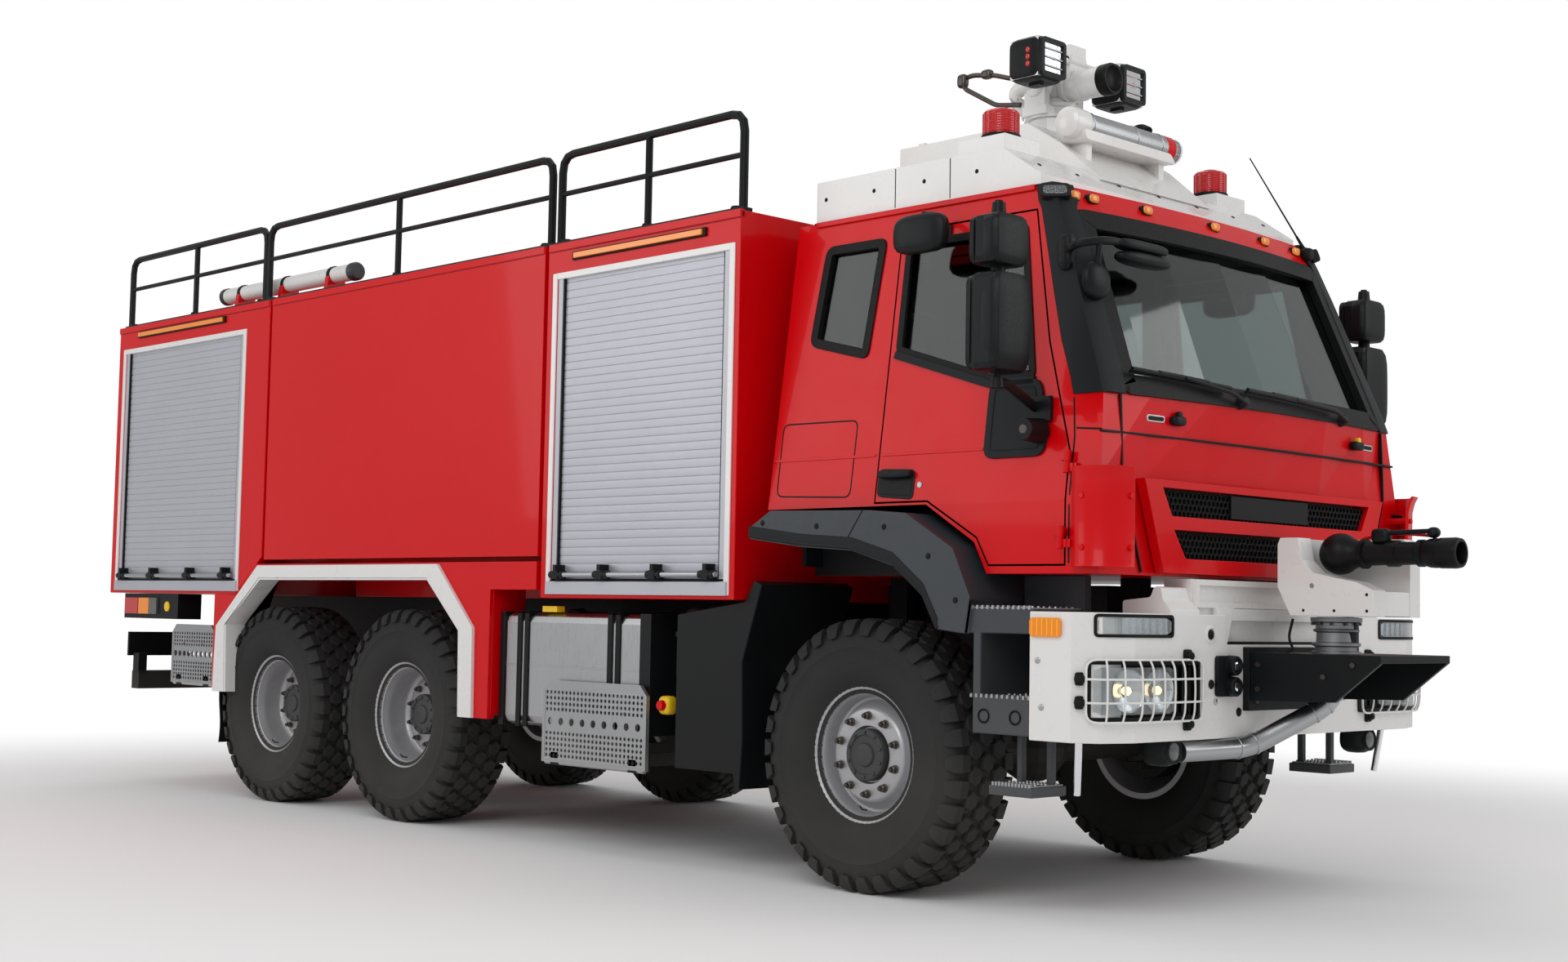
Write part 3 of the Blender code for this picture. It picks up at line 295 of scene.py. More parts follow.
def coat_nodes():
    for finish, starts in NODE_FINISHES.items():
        for name, obj in ((n, bpy.data.objects[n]) for n in frame["nodes"]):
            if name.startswith(starts):
                obj.data.materials.clear()
                obj.data.materials.append(bpy.data.materials[finish])
    for name in ("cab_shell", "door_left", "door_right"):
        obj = bpy.data.objects[name]
        obj.data.materials.append(bpy.data.materials[TRIM])
        for face in obj.data.polygons:
            spot = obj.matrix_world @ face.center
            x, deep = spot.x - AXLE_X, half_width(spot.z) - abs(spot.y)
            inside = deep > 0.014 and -0.6 < x < front(spot.y, spot.z) - 0.012 and 1.37 < spot.z < 2.96
            face.material_index = int(inside)


class TRUCK_OT_finishes(bpy.types.Operator):
    """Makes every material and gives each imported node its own"""

    bl_idname = "truck.finishes"
    bl_label = "Finishes"

    def execute(self, context):
        make_finishes(context.scene.truck_colours)
        coat_nodes()
        soften_nodes()
        return {"FINISHED"}


# ---------------------------------------------------------------- shapes


class Shape:
    """A mesh under construction, in metres from the front axle, whose faces carry a finish each."""

    def __init__(self):
        self.bm = bmesh.new()
        self.looks = []

    def paint(self, faces, look):
        if look not in self.looks:
            self.looks.append(look)
        for face in faces:
            face.material_index = self.looks.index(look)

    def rings(self, rows, look, closed=False, ends=True):
        """Faces between rows of points: a row of one point makes a tip, and end rows are filled."""
        verts = [[self.bm.verts.new(p) for p in row] for row in rows]
        faces = []
        pairs = list(zip(verts, verts[1:] + verts[:1] if closed else verts[1:]))
        for near, far in pairs:
            count = max(len(near), len(far))
            for k in range(count if count > 1 else 0):
                n = (k + 1) % count
                corners = [near[0]] if len(near) == 1 else [near[k], near[n]]
                corners += [far[0]] if len(far) == 1 else [far[n], far[k]]
                faces.append(self.bm.faces.new(corners))
        if ends and not closed:
            faces += [self.bm.faces.new(row) for row in (verts[0][::-1], verts[-1]) if len(row) > 2]
        self.paint(faces, look)
        return faces

    def box(self, low, high, look):
        x0, y0, z0, x1, y1, z1 = *low, *high
        self.rings([[(x0, y0, z), (x1, y0, z), (x1, y1, z), (x0, y1, z)] for z in (z0, z1)], look)

    def block(self, side, x, y, z, look):
        """A box whose span across the truck is given for the left, and mirrored by the side."""
        low, high = sorted((side * y[0], side * y[1]))
        self.box((x[0], low, z[0]), (x[1], high, z[1]), look)

    def slab(self, centre, across, up, outline, depth, look):
        """An outline in any plane, and where its two faces stand along that plane's normal."""
        across, up = Vector(across).normalized(), Vector(up).normalized()
        out = across.cross(up)
        self.rings([[Vector(centre) + across * a + up * b + out * d for a, b in outline] for d in depth], look)

    def pod(self, centre, half, look, square=3.6, steps=5, sides=24):
        """A rounded block, as super-ellipses stacked up; square says how boxy it is."""
        centre, rows = Vector(centre), []
        for k in range(-steps, steps + 1):
            up = math.sin(k / steps * math.pi / 2)
            grow = max(0.0, 1 - abs(up) ** square) ** (1 / square)
            if grow < 1e-3:
                rows.append([centre + Vector((0, 0, half[2] * up))])
                continue
            row = []
            for n in range(sides):
                c, s = math.cos(2 * math.pi * n / sides), math.sin(2 * math.pi * n / sides)
                reach = grow * (abs(c) ** square + abs(s) ** square) ** (-1 / square)
                row.append(centre + Vector((half[0] * reach * c, half[1] * reach * s, half[2] * up)))
            rows.append(row)
        self.rings(rows, look)

    def plate(self, axis, outline, near, far, look):
        """An outline drawn across an axis, and its thickness along it."""
        self.rings([[laid(axis, u, w, depth) for u, w in outline] for depth in (near, far)], look)

    def turned(self, origin, axis, profile, look, sides=32, closed=False):
        """A profile of (distance along the axis, radius) spun round it."""
        origin, axis = Vector(origin), Vector(axis).normalized()
        u = axis.orthogonal().normalized()
        w = axis.cross(u)
        rows = []
        for along, radius in profile:
            if radius < 1e-6:
                rows.append([origin + axis * along])
                continue
            turns = (2 * math.pi * k / sides for k in range(sides))
            rows.append([origin + axis * along + radius * (u * math.cos(t) + w * math.sin(t)) for t in turns])
        return self.rings(rows, look, closed)

    def rod(self, start, end, radius, look, tip=None, sides=16):
        reach = (Vector(end) - Vector(start)).length
        profile = ((0, 0), (0, radius), (reach, radius if tip is None else tip), (reach, 0))
        self.turned(start, Vector(end) - Vector(start), profile, look, sides)

    def stud(self, spot, axis, radius, height, look, sides=12, top=None):
        """A bolt head, knob or boss that stands on a surface, and may narrow towards its top."""
        profile = ((0, 0), (0, radius), (height, top or radius), (height, 0))
        self.turned(spot, axis, profile, look, sides)

    def tube(self, points, radius, look, sides=10):
        """A round bar along a path, with no twist from one point to the next."""
        points = [Vector(p) for p in points]
        headings = [(b - a).normalized() for a, b in zip(points, points[1:])]
        u = headings[0].orthogonal().normalized()
        rows = []
        for k, point in enumerate(points):
            ahead = (headings[max(k - 1, 0)] + headings[min(k, len(headings) - 1)]).normalized()
            u = (u - ahead * u.dot(ahead)).normalized()
            w = ahead.cross(u)
            turns = (2 * math.pi * n / sides for n in range(sides))
            rows.append([point + radius * (u * math.cos(t) + w * math.sin(t)) for t in turns])
        self.rings(rows, look)

    def place(self, name, body, slot, chamfer=0.002, sharp=35, replaces=()):
        """Ends the mesh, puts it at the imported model's origin, softens its edges and lets it ride."""
        bmesh.ops.recalc_face_normals(self.bm, faces=self.bm.faces)
        bmesh.ops.translate(self.bm, vec=(AXLE_X, 0, 0), verts=self.bm.verts)
        mesh = bpy.data.meshes.new(name)
        self.bm.to_mesh(mesh)
        self.bm.free()
        for look in self.looks:
            mesh.materials.append(bpy.data.materials[look])
        piece = bpy.data.objects.new(name, mesh)
        bpy.context.scene.collection.objects.link(piece)
        soften(piece, chamfer, sharp)
        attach(piece, body)
        if replaces:
            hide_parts(*replaces)
        return piece


def put(make, name, body, slot, chamfer=0.002, sharp=35, replaces=(), args=()):
    """Lets a function make a shape, and places it as a piece."""
    shape = Shape()
    make(shape, *args)
    return shape.place(name, body, slot, chamfer, sharp, replaces)


def laid(axis, u, w, depth):
    """A flat point and its depth, turned so that the depth runs along the named axis."""
    return {"x": (depth, u, w), "y": (u, depth, w), "z": (u, w, depth)}[axis]


def around(centre, radius, count, axis="z", start=0.0):
    """Places spaced evenly on a circle about the named axis."""
    for k in range(count):
        turn = 2 * math.pi * (k + start) / count
        c, s = radius * math.cos(turn), radius * math.sin(turn)
        yield Vector(centre) + Vector((c, s, 0) if axis == "z" else (c, 0, s))


def soften(piece, chamfer, sharp=35):
    """Rounds a piece's sharp edges and shades the rest smooth."""
    piece.data.shade_smooth()
    piece.data.set_sharp_from_angle(angle=math.radians(sharp))
    if chamfer:
        bevel = piece.modifiers.new("edges", "BEVEL")
        bevel.width = chamfer
        bevel.segments = 2
        bevel.limit_method = "ANGLE"
        bevel.angle_limit = math.radians(sharp)
        bevel.harden_normals = True
        bevel.use_clamp_overlap = True


def bent(points, reach, steps=5):
    """A path whose corners are rounded, each bend starting that far before its corner."""
    points = [Vector(p) for p in points]
    path = [points[0]]
    for before, corner, after in zip(points, points[1:], points[2:]):
        legs = [(other - corner) for other in (before, after)]
        start, end = (corner + leg.normalized() * min(reach, leg.length / 2) for leg in legs)
        for step in range(steps + 1):
            t = step / steps
            path.append(start * (1 - t) ** 2 + corner * 2 * t * (1 - t) + end * t * t)
    return path + [points[-1]]


def rounded(outline, radius, steps=4):
    """A closed outline of flat points with its corners rounded."""
    points = [Vector(p) for p in outline]
    made = []
    for k, corner in enumerate(points):
        legs = [points[k - 1] - corner, points[(k + 1) % len(points)] - corner]
        start, end = (corner + leg.normalized() * min(radius, leg.length / 2) for leg in legs)
        for step in range(steps + 1):
            t = step / steps
            made.append(tuple(start * (1 - t) ** 2 + corner * 2 * t * (1 - t) + end * t * t))
    return made


def oblong(u0, u1, w0, w1, radius=0.02):
    """A rectangle's outline with rounded corners."""
    return rounded(((u0, w0), (u1, w0), (u1, w1), (u0, w1)), radius)


def finer(points, step, closed=True):
    """The same line with points added, none further apart than the step."""
    points = [Vector(p) for p in points]
    made = []
    for a, b in zip(points, points[1:] + (points[:1] if closed else [])):
        count = max(1, math.ceil((b - a).length / step))
        made += [tuple(a + (b - a) * k / count) for k in range(count)]
    return made if closed else made + [tuple(points[-1])]


def framed(shape, outline, width, near, far, look, lay):
    """A frame round an outline that runs inwards by its width, where the function lays each point."""
    inner = shrunk(outline, width)
    rows = ((outline, near), (inner, near), (inner, far), (outline, far))
    shape.rings([[lay(u, w, depth) for u, w in line] for line, depth in rows], look, closed=True)


def frame_bars(shape, outline, width, near, far, look, axis="y"):
    framed(shape, outline, width, near, far, look, lambda u, w, depth: laid(axis, u, w, depth))


def shrunk(outline, gap):
    """A closed outline with every edge moved inwards by the gap, whichever way it runs."""
    points = [Vector(p) for p in outline]
    area = sum(a.x * b.y - b.x * a.y for a, b in zip(points, points[1:] + points[:1]))
    turn = 1 if area > 0 else -1
    moved = []
    for k, corner in enumerate(points):
        arriving = (corner - points[k - 1]).normalized()
        leaving = (points[(k + 1) % len(points)] - corner).normalized()
        inward = Vector((-arriving.y, arriving.x)) * turn
        bend = (arriving.x * leaving.y - arriving.y * leaving.x) * turn
        slide = gap * (1 - arriving.dot(leaving)) / bend if abs(bend) > 1e-4 else 0
        moved.append(tuple(corner + inward * gap - arriving * slide))
    return moved


SOFT_EDGES = {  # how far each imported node's edges are rounded
    "body_": 0.006, "cab_shell": 0.01, "door_left": 0.004, "door_right": 0.004, "front_panel": 0.012,
    "bumper": 0.02, "roof_fairing": 0.012, "fender": 0.012, "side_box": 0.01, "mirrors": 0.02,
    "fuel_tank": 0.008, "turret": 0.006, "monitor": 0.008, "dashboard": 0.02, "chassis": 0.004,
    "powertrain": 0.02, "axle": 0.006, "knuckle": 0.006, "rear_ladder": 0.003,
}


def soften_nodes():
    """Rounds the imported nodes' edges with modifiers, which leave their own meshes as they are."""
    for name in frame["nodes"]:
        width = next((w for start, w in SOFT_EDGES.items() if name.startswith(start)), 0)
        obj = bpy.data.objects[name]
        weld = obj.modifiers.new("weld", "WELD")
        weld.merge_threshold = 0.00002
        flat = obj.modifiers.new("flat faces", "DECIMATE")
        flat.decimate_type = "DISSOLVE"
        flat.angle_limit = math.radians(0.8)
        if width:
            bevel = obj.modifiers.new("edges", "BEVEL")
            bevel.width = width
            bevel.segments = 3
            bevel.limit_method = "ANGLE"
            bevel.angle_limit = math.radians(28)
            bevel.harden_normals = True


# ---------------------------------------------------------------- wheels

AXLES = ("front", "middle", "rear")
LUG_COUNT = 34
NUT_COUNT = 10
TYRE_WALL = (  # out from the tyre's middle, radius: from the bead up the side wall to the shoulder
    (0.127, 0.262), (0.134, 0.285), (0.152, 0.305), (0.172, 0.335), (0.184, 0.375), (0.189, 0.415),
    (0.188, 0.455), (0.1905, 0.46), (0.187, 0.468), (0.183, 0.505), (0.172, 0.535), (0.158, 0.552),
)
TREAD_ROWS = ((0.0, 0.0, 0.031), (0.076, 0.5, 0.033), (-0.076, 0.5, 0.033))  # out, phase, half width
HEXAGON = ((0.04, 0), (0.022, 1), (-0.022, 1), (-0.04, 0), (-0.022, -1), (0.022, -1))
SHOULDER = (  # out, drop below the tread and half length: a block's section where it wraps the shoulder
    (0.112, -0.004, 0.034), (0.16, -0.003, 0.037), (0.183, -0.022, 0.036), (0.195, -0.055, 0.028),
    (0.194, -0.072, 0.02), (0.176, -0.068, 0.024), (0.15, -0.04, 0.036), (0.112, -0.03, 0.036),
)
RIM_EDGE = (  # out from the tyre's middle, radius
    (0.127, 0.262), (0.1275, 0.296), (0.131, 0.3), (0.139, 0.299), (0.14, 0.292), (0.134, 0.284), (0.128, 0.27),
)
RIM_FRONT = RIM_EDGE + (
    (0.118, 0.26), (0.1, 0.254), (0.07, 0.251), (0.052, 0.246), (0.046, 0.236), (0.056, 0.222), (0.092, 0.206),
    (0.104, 0.198), (0.107, 0.188), (0.107, 0.125), (0.1, 0.12), (0.085, 0.118), (0.085, 0.0),
)
RIM_DEEP = RIM_EDGE + (
    (0.116, 0.262), (0.112, 0.256), (0.095, 0.252), (0.08, 0.247), (0.06, 0.2445), (-0.02, 0.243),
    (-0.036, 0.236), (-0.045, 0.22), (-0.04, 0.2), (-0.03, 0.19), (-0.03, 0.0),
)
RIM_BACK = ((-0.06, 0.236), (-0.118, 0.25), (-0.137, 0.262), (-0.139, 0.298), (-0.129, 0.3), (-0.127, 0.262))
HUB = ((-0.02, 0.112), (0.016, 0.112), (0.022, 0.108), (0.024, 0.1), (0.024, 0.086), (0.019, 0.083),
       (0.019, 0.052), (0.027, 0.048), (0.029, 0.04), (0.029, 0.0))
WHEEL_NUT = ((0, 0.019), (0.004, 0.019), (0.006, 0.015), (0.022, 0.015), (0.025, 0.011), (0.036, 0.01),
             (0.04, 0.007), (0.04, 0))


def tyre_shape(shape, centre, side, radius):
    """A cross-country tyre: its carcass, three rows of hexagons, and blocks that wrap the shoulders."""
    tread = bpy.context.scene.truck_sizes.tread_depth
    outer = TYRE_WALL + ((0.12, radius - tread), (0.04, radius - tread + 0.001))
    profile = outer + tuple((-y, r) for y, r in reversed(outer)) + ((-0.1, 0.262), (0.1, 0.262))
    shape.turned(centre, (0, side, 0), profile, RUBBER, 96, closed=True)

    def spun(turn, ahead, out, height):
        place = turn + ahead / height
        return centre + Vector((height * math.cos(place), out, height * math.sin(place)))

    layers = ((1.1, radius - tread - 0.002), (1.0, radius - 0.004), (0.9, radius))  # size, height
    for k in range(LUG_COUNT):
        for y, phase, reach in TREAD_ROWS:
            turn = 2 * math.pi * (k + phase) / LUG_COUNT
            shape.rings([[spun(turn, a * grow, side * y + w * reach * grow, height) for a, w in HEXAGON]
                         for grow, height in layers], RUBBER)
        turn = 2 * math.pi * k / LUG_COUNT
        for hand in (-1, 1):
            shape.rings([[spun(turn, way * w, hand * y, radius + drop) for y, drop, w in SHOULDER]
                         for way in (-1, 1)], RUBBER)


def rim_shape(shape, centre, side, face, hub_out):
    """A rim turned from its face round to its back, its hub, nuts and valve."""
    out, end = (0, side, 0), face[-1][0]
    profile = face + ((end - 0.012, 0.0), (end - 0.012, 0.17)) + RIM_BACK
    shape.turned(centre, out, profile, LACQUER, 64, closed=True)
    shape.turned(centre, out, [(hub_out - 0.06, 0.0)] + [(hub_out + a, r) for a, r in HUB], HUB_BLACK, 48)
    nuts_out = end + (0.022 if face is RIM_FRONT else 0)
    for spot in around(centre + Vector((0, side * nuts_out, 0)), 0.1675, NUT_COUNT, "y", 0.5):
        shape.turned(spot, out, WHEEL_NUT, STEEL, 12)
    for spot in around(centre + Vector((0, side * (hub_out + 0.022), 0)), 0.096, NUT_COUNT, "y", 0.5):
        shape.turned(spot, out, ((0, 0.008), (0.007, 0.008), (0.009, 0.005), (0.009, 0)), HUB_BLACK, 6)
    valve = centre + Vector((0.0, side * 0.11, -0.235))
    shape.tube([valve, valve + Vector((0, side * 0.03, 0.004)), valve + Vector((0, side * 0.045, 0.02))],
               0.004, STEEL, 8)


class TRUCK_OT_wheels(bpy.types.Operator):
    """Makes the six lugged tyres and their rims, hubs and wheel nuts"""

    bl_idname = "truck.wheels"
    bl_label = "Wheels"

    def execute(self, context):
        for axle in AXLES:
            face, hub_out = (RIM_FRONT, 0.107) if axle == "front" else (RIM_DEEP, 0.0)
            for word, side in SIDES.items():
                end = f"{axle}_{word}"
                low, high = (Vector(c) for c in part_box(f"tyre_{end}"))
                centre = (low + high) / 2 - Vector((AXLE_X, 0, 0))
                ride = (f"wheel_{end}", "tyre_rubber", 0, 40, [f"tyre_{end}"])
                put(tyre_shape, f"lugged_tyre_{end}", *ride, args=(centre, side, (high.x - low.x) / 2))
                ride = (f"wheel_{end}", "silver_paint", 0, 40, [f"rim_{end}"])
                put(rim_shape, f"turned_rim_{end}", *ride, args=(centre, side, face, hub_out))
        return {"FINISHED"}


# ---------------------------------------------------------------- body

SKIN = 1.25  # half the width of the body's sides
LIGHT_BARS = ((-6.63, -5.46, 2.965), (-1.95, -0.95, 2.955))  # rear end, front end, height
ROOF_EDGES = ((-6.91, -4.93), (-4.89, -2.19), (-2.15, -0.72))
SLAT = ((0.0, 0.0), (0.05, 0.8), (0.3, 1.0), (0.7, 1.0), (0.93, 0.8), (0.97, 0.0))  # up a slat, out
ARCH_OUTER = ((-5.44, 0.64), (-5.42, 1.045), (-4.94, 1.415), (-3.05, 1.415), (-2.71, 1.08), (-2.7, 0.61))
ARCH_INNER = ((-5.3, 0.64), (-5.32, 1.05), (-4.92, 1.34), (-3.14, 1.34), (-2.83, 1.067), (-2.815, 0.61))
ARCH_LIP = ((-5.285, 0.64), (-5.307, 1.057), (-4.914, 1.328), (-3.146, 1.328), (-2.844, 1.062), (-2.829, 0.61))
SKIRT_EDGE = ((-5.48, 0.66), (-5.48, 1.2397), (-5.215, 1.2397), (-4.99, 1.424), (-2.19, 1.424), (-2.19, 1.28),
              (-2.58, 1.28), (-2.58, 0.61))


def slatted(shape, span, z, out, axis_x):
    """A curtain of interlocked slats over a span, its face at a distance out along the other axis."""
    count = round((z[1] - z[0]) / bpy.context.scene.truck_sizes.slat_pitch)
    pitch = (z[1] - z[0]) / count
    outline = [(z[0] + (k + a) * pitch, out[0] + (out[1] - out[0]) * b) for k in range(count) for a, b in SLAT]
    back = out[0] - (out[1] - out[0]) * 2
    outline += [(z[1], out[0]), (z[1], back), (z[0], back)]
    shape.rings([[(end, d, h) if axis_x else (d, end, h) for h, d in outline] for end in span], ALUMINIUM)


def shutter_trim(shape, x, z, side):
    """The guides, seals, sill and locking bar round a side shutter."""
    for end, hand in zip(x, (-1, 1)):
        edge = end + hand * 0.004
        for a, b, near, far, look in (
            (0.0, 0.034, 1.215, SKIN + 0.006, WHITE), (-0.04, -0.004, 1.215, SKIN - 0.002, ALUMINIUM),
            (-0.05, -0.041, 1.2, SKIN - 0.006, SEAL),
        ):
            along = sorted((edge + hand * a, edge + hand * b))
            shape.block(side, along, (near, far), (z[0] - 0.01, z[1] + 0.01), look)
    for bottom, top, far, look in (
        (z[0] - 0.012, z[0] + 0.052, SKIN + 0.014, ALUMINIUM), (z[0] + 0.052, z[0] + 0.066, SKIN - 0.002, SEAL),
        (z[1] - 0.02, z[1] + 0.012, SKIN + 0.004, WHITE),
    ):
        shape.block(side, (x[0] - 0.03, x[1] + 0.03), (1.2, far), (bottom, top), look)
    bar_z, bar_y = z[0] + 0.085, side * (SKIN + 0.022)
    shape.rod((x[0] + 0.03, bar_y, bar_z), (x[1] - 0.03, bar_y, bar_z), 0.013, STAINLESS)
    for share in (0.06, 0.33, 0.64, 0.93):
        spot, across = x[0] + (x[1] - x[0]) * share, (SKIN - 0.03, SKIN + 0.042)
        shape.block(side, (spot - 0.022, spot + 0.022), across, (bar_z - 0.022, bar_z + 0.02), POWDER)
        shape.rod((spot - 0.05, bar_y, bar_z), (spot + 0.05, bar_y, bar_z), 0.019, POWDER)
        shape.block(side, (spot - 0.012, spot + 0.012), across, (bar_z + 0.02, bar_z + 0.05), POWDER)


def tail_shutter(shape, low, high):
    back = low.x - AXLE_X + 0.012
    slatted(shape, (low.y + 0.04, high.y - 0.04), (low.z + 0.06, high.z), (back, back - 0.006), False)
    for y0, y1 in ((low.y, low.y + 0.045), (high.y - 0.045, high.y)):
        shape.box((back - 0.012, y0, low.z), (back + 0.02, y1, high.z), ALUMINIUM)
    shape.box((back - 0.014, low.y, low.z), (back + 0.02, high.y, low.z + 0.058), ALUMINIUM)
    bar = Vector((back - 0.03, 0, low.z + 0.085))
    shape.rod(bar + Vector((0, low.y + 0.05, 0)), bar + Vector((0, high.y - 0.05, 0)), 0.013, STAINLESS)


class TRUCK_OT_shutters(bpy.types.Operator):
    """Makes the slatted curtains with their guides, sills and locking bars"""

    bl_idname = "truck.shutters"
    bl_label = "Roller shutters"

    def execute(self, context):
        for place in ("rear", "front"):
            for word, side in SIDES.items():
                end = f"{place}_{word}"
                low, high = (Vector(c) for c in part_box(f"shutter_{end}"))
                x, z = (low.x - AXLE_X, high.x - AXLE_X), (low.z, high.z)
                faces = (side * 1.2285, side * 1.232)
                curtain = ((x[0] + 0.045, x[1] - 0.045), (z[0] + 0.06, z[1]), faces, True)
                put(slatted, f"slats_{end}", "truck", "aluminium", 0, 30, [f"shutter_{end}"], args=curtain)
                put(shutter_trim, f"shutter_frame_{end}", "truck", "aluminium", args=(x, z, side))
        box = [Vector(c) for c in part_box("shutter_tail")]
        put(tail_shutter, "slats_tail", "truck", "aluminium", 0.0015, 30, ["shutter_tail"], args=box)
        return {"FINISHED"}


def arch_skirt(shape, side):
    shape.plate("y", ARCH_OUTER[::-1] + SKIRT_EDGE, side * 1.205, side * SKIN, RED)
    shape.block(side, (-2.6, -2.578), (1.02, 1.23), (0.63, 1.41), RED)


def arch_trim(shape, side):
    shape.plate("y", ARCH_OUTER + ARCH_INNER[::-1], side * 1.21, side * 1.268, WHITE)
    shape.plate("y", ARCH_INNER + ARCH_LIP[::-1], side * 1.13, side * 1.262, WHITE)


def light_bars(shape, side):
    for x0, x1, z in LIGHT_BARS:
        shape.block(side, (x0, x1), (1.235, 1.262), (z - 0.021, z + 0.021), SEAL)
        shape.block(side, (x0 + 0.02, x1 - 0.02), (1.25, 1.272), (z - 0.014, z + 0.014), AMBER)
        low, high = sorted((side * 1.25, side * 1.272))
        # Sixteen ribs across each bar in the lighter, glowing copy of the amber: a painted glint on the lens.
        for k in range(16):
            x = x0 + (x1 - x0) * (k + 0.5) / 16
            shape.box((x - 0.003, low, z - 0.0142), (x + 0.003, high + 0.0004, z + 0.0142), "amber prism")


def roof_edge(shape, side):
    for span in ROOF_EDGES:
        shape.block(side, span, (1.225, 1.256), (2.995, 3.034), RED)
        shape.block(side, span, (1.23, 1.2505), (2.988, 2.995), SEAL)


class TRUCK_OT_body(bpy.types.Operator):
    """Makes the arches, the light bars and the edge of the roof"""

    bl_idname = "truck.body"
    bl_label = "Body"

    def execute(self, context):
        for word, side in SIDES.items():
            for make, slot, chamfer, gone in (
                (arch_skirt, "red_paint", 0.003, [f"wheel_arch_{word}"]), (arch_trim, "white_paint", 0.003, ()),
                (light_bars, "grey_plastic", 0.003, ()), (roof_edge, "red_paint", 0.004, ()),
            ):
                put(make, f"{make.__name__}_{word}", "truck", slot, chamfer, replaces=gone, args=(side,))
        return {"FINISHED"}


# ---------------------------------------------------------------- cab

CAB_FRONT = (  # height, how far forward the corner stands, how far the middle bows out in front of it
    (1.36, 1.24, 0.0), (1.74, 1.24, 0.0), (2.09, 1.215, 0.09), (2.82, 0.93, 0.09), (2.97, 0.86, 0.06),
)
WINDOW = ((0.1, 2.33), (0.62, 2.17), (0.855, 2.17), (0.745, 2.8), (0.1, 2.8))
QUARTER = ((-0.43, 2.41), (-0.1, 2.33), (-0.06, 2.83), (-0.39, 2.83))
SCREEN = ((-1.0, 2.072), (1.0, 2.072), (0.915, 2.868), (-0.915, 2.868))
MARKERS_Y = (-0.88, -0.77, -0.43, 0.06, 0.49, 0.8)
PILLAR = (  # height, rear edge along the flank, inner edge across the front
    (2.072, 1.07, 0.985), (2.15, 1.045, 0.975), (2.3, 0.985, 0.962), (2.5, 0.925, 0.94), (2.7, 0.868, 0.92),
    (2.87, 0.818, 0.905), (2.9, 0.8, 0.88), (2.955, 0.785, 0.87), (2.975, 0.79, 0.87),
)
GRILLE_ROWS = (  # height, half width of the panel, half width of the openings
    (1.742, 0.925, 0.8), (1.712, 0.912, 0.8), (1.6, 0.872, 0.735), (1.546, 0.853, 0.722),
    (1.432, 0.812, 0.64), (1.372, 0.79, 0.64),
)
OPENINGS = (1, 3)  # the rows of the panel that are open
VANE = ((1.13, 1.18), (1.175, 1.205), (1.235, 1.208), (1.29, 1.18), (1.328, 1.13), (1.345, 1.06))


def half_width(z):
    return 1.15 - max(0.0, z - 1.65) * 0.17 / 1.3


def front(y, z):
    """How far forward the cab's bowed front stands at a place across it."""
    for (z0, x0, bow0), (z1, x1, bow1) in zip(CAB_FRONT, CAB_FRONT[1:]):
        if z <= z1:
            break
    t = min(1.0, max(0.0, (z - z0) / (z1 - z0)))
    share = min(1.0, abs(y) / half_width(z))
    return x0 + (x1 - x0) * t + (bow0 + (bow1 - bow0) * t) * (1 - share * share)


def on_cab(side, a, z, out):
    """A point off the cab's skin: a runs across the front when side is 0, and along a flank otherwise."""
    return (a, side * (half_width(z) + out), z) if side else (front(a, z) + out, a, z)


def cab_frame(shape, side, outline, width, near, far, look=SEAL):
    framed(shape, finer(outline, 0.08), width, near, far, look, lambda a, z, out: on_cab(side, a, z, out))


def cab_panel(shape, side, outline, near, far, look):
    shape.rings([[on_cab(side, a, z, out) for a, z in outline] for out in (near, far)], look)


def cab_band(shape, side, path, width, near, far, look=SEAL):
    """A flat strip along a path on the cab's skin."""
    points = [Vector(p) for p in finer(path, 0.08, closed=False)]
    rows = []
    for k, point in enumerate(points):
        ahead = (points[min(k + 1, len(points) - 1)] - points[max(k - 1, 0)]).normalized()
        off = Vector((-ahead.y, ahead.x)) * width / 2
        corners = ((point + off, near), (point + off, far), (point - off, far), (point - off, near))
        rows.append([on_cab(side, spot.x, spot.y, out) for spot, out in corners])
    shape.rings(rows, look)


def screen_seal(shape):
    cab_frame(shape, 0, rounded(SCREEN, 0.06), 0.084, -0.03, 0.012)


def pillar(shape, side):
    """The moulded cover of a windscreen pillar, round the cab's corner, with its corner lamp on top."""
    rows = []
    for z, edge, inner in PILLAR:
        wide, nose, at = half_width(z), front(half_width(z), z), front(inner, z)
        plan = ((edge, wide + 0.004), (nose - 0.045, wide + 0.011), (nose + 0.007, wide + 0.01),
                (nose + 0.021, wide - 0.022), (at + 0.016, inner), (at - 0.03, inner - 0.002),
                (nose - 0.07, wide - 0.06), (edge, wide - 0.03))
        rows.append([(x, side * y, z) for x, y in plan])
    shape.rings(rows, TRIM)
    lamp = (0.888, side * 0.992, 2.932), (0.8, -side * 0.6, 0.0), (-0.3, -side * 0.18, 1.0)
    oval = oblong(-0.05, 0.05, -0.021, 0.021, 0.016)
    shape.slab(*lamp, [(a * 1.3, b * 1.5) for a, b in oval], (side * 0.03, -side * 0.0096), TRIM)
    shape.slab(*lamp, oval, (side * 0.03, -side * 0.012), CLEAR)


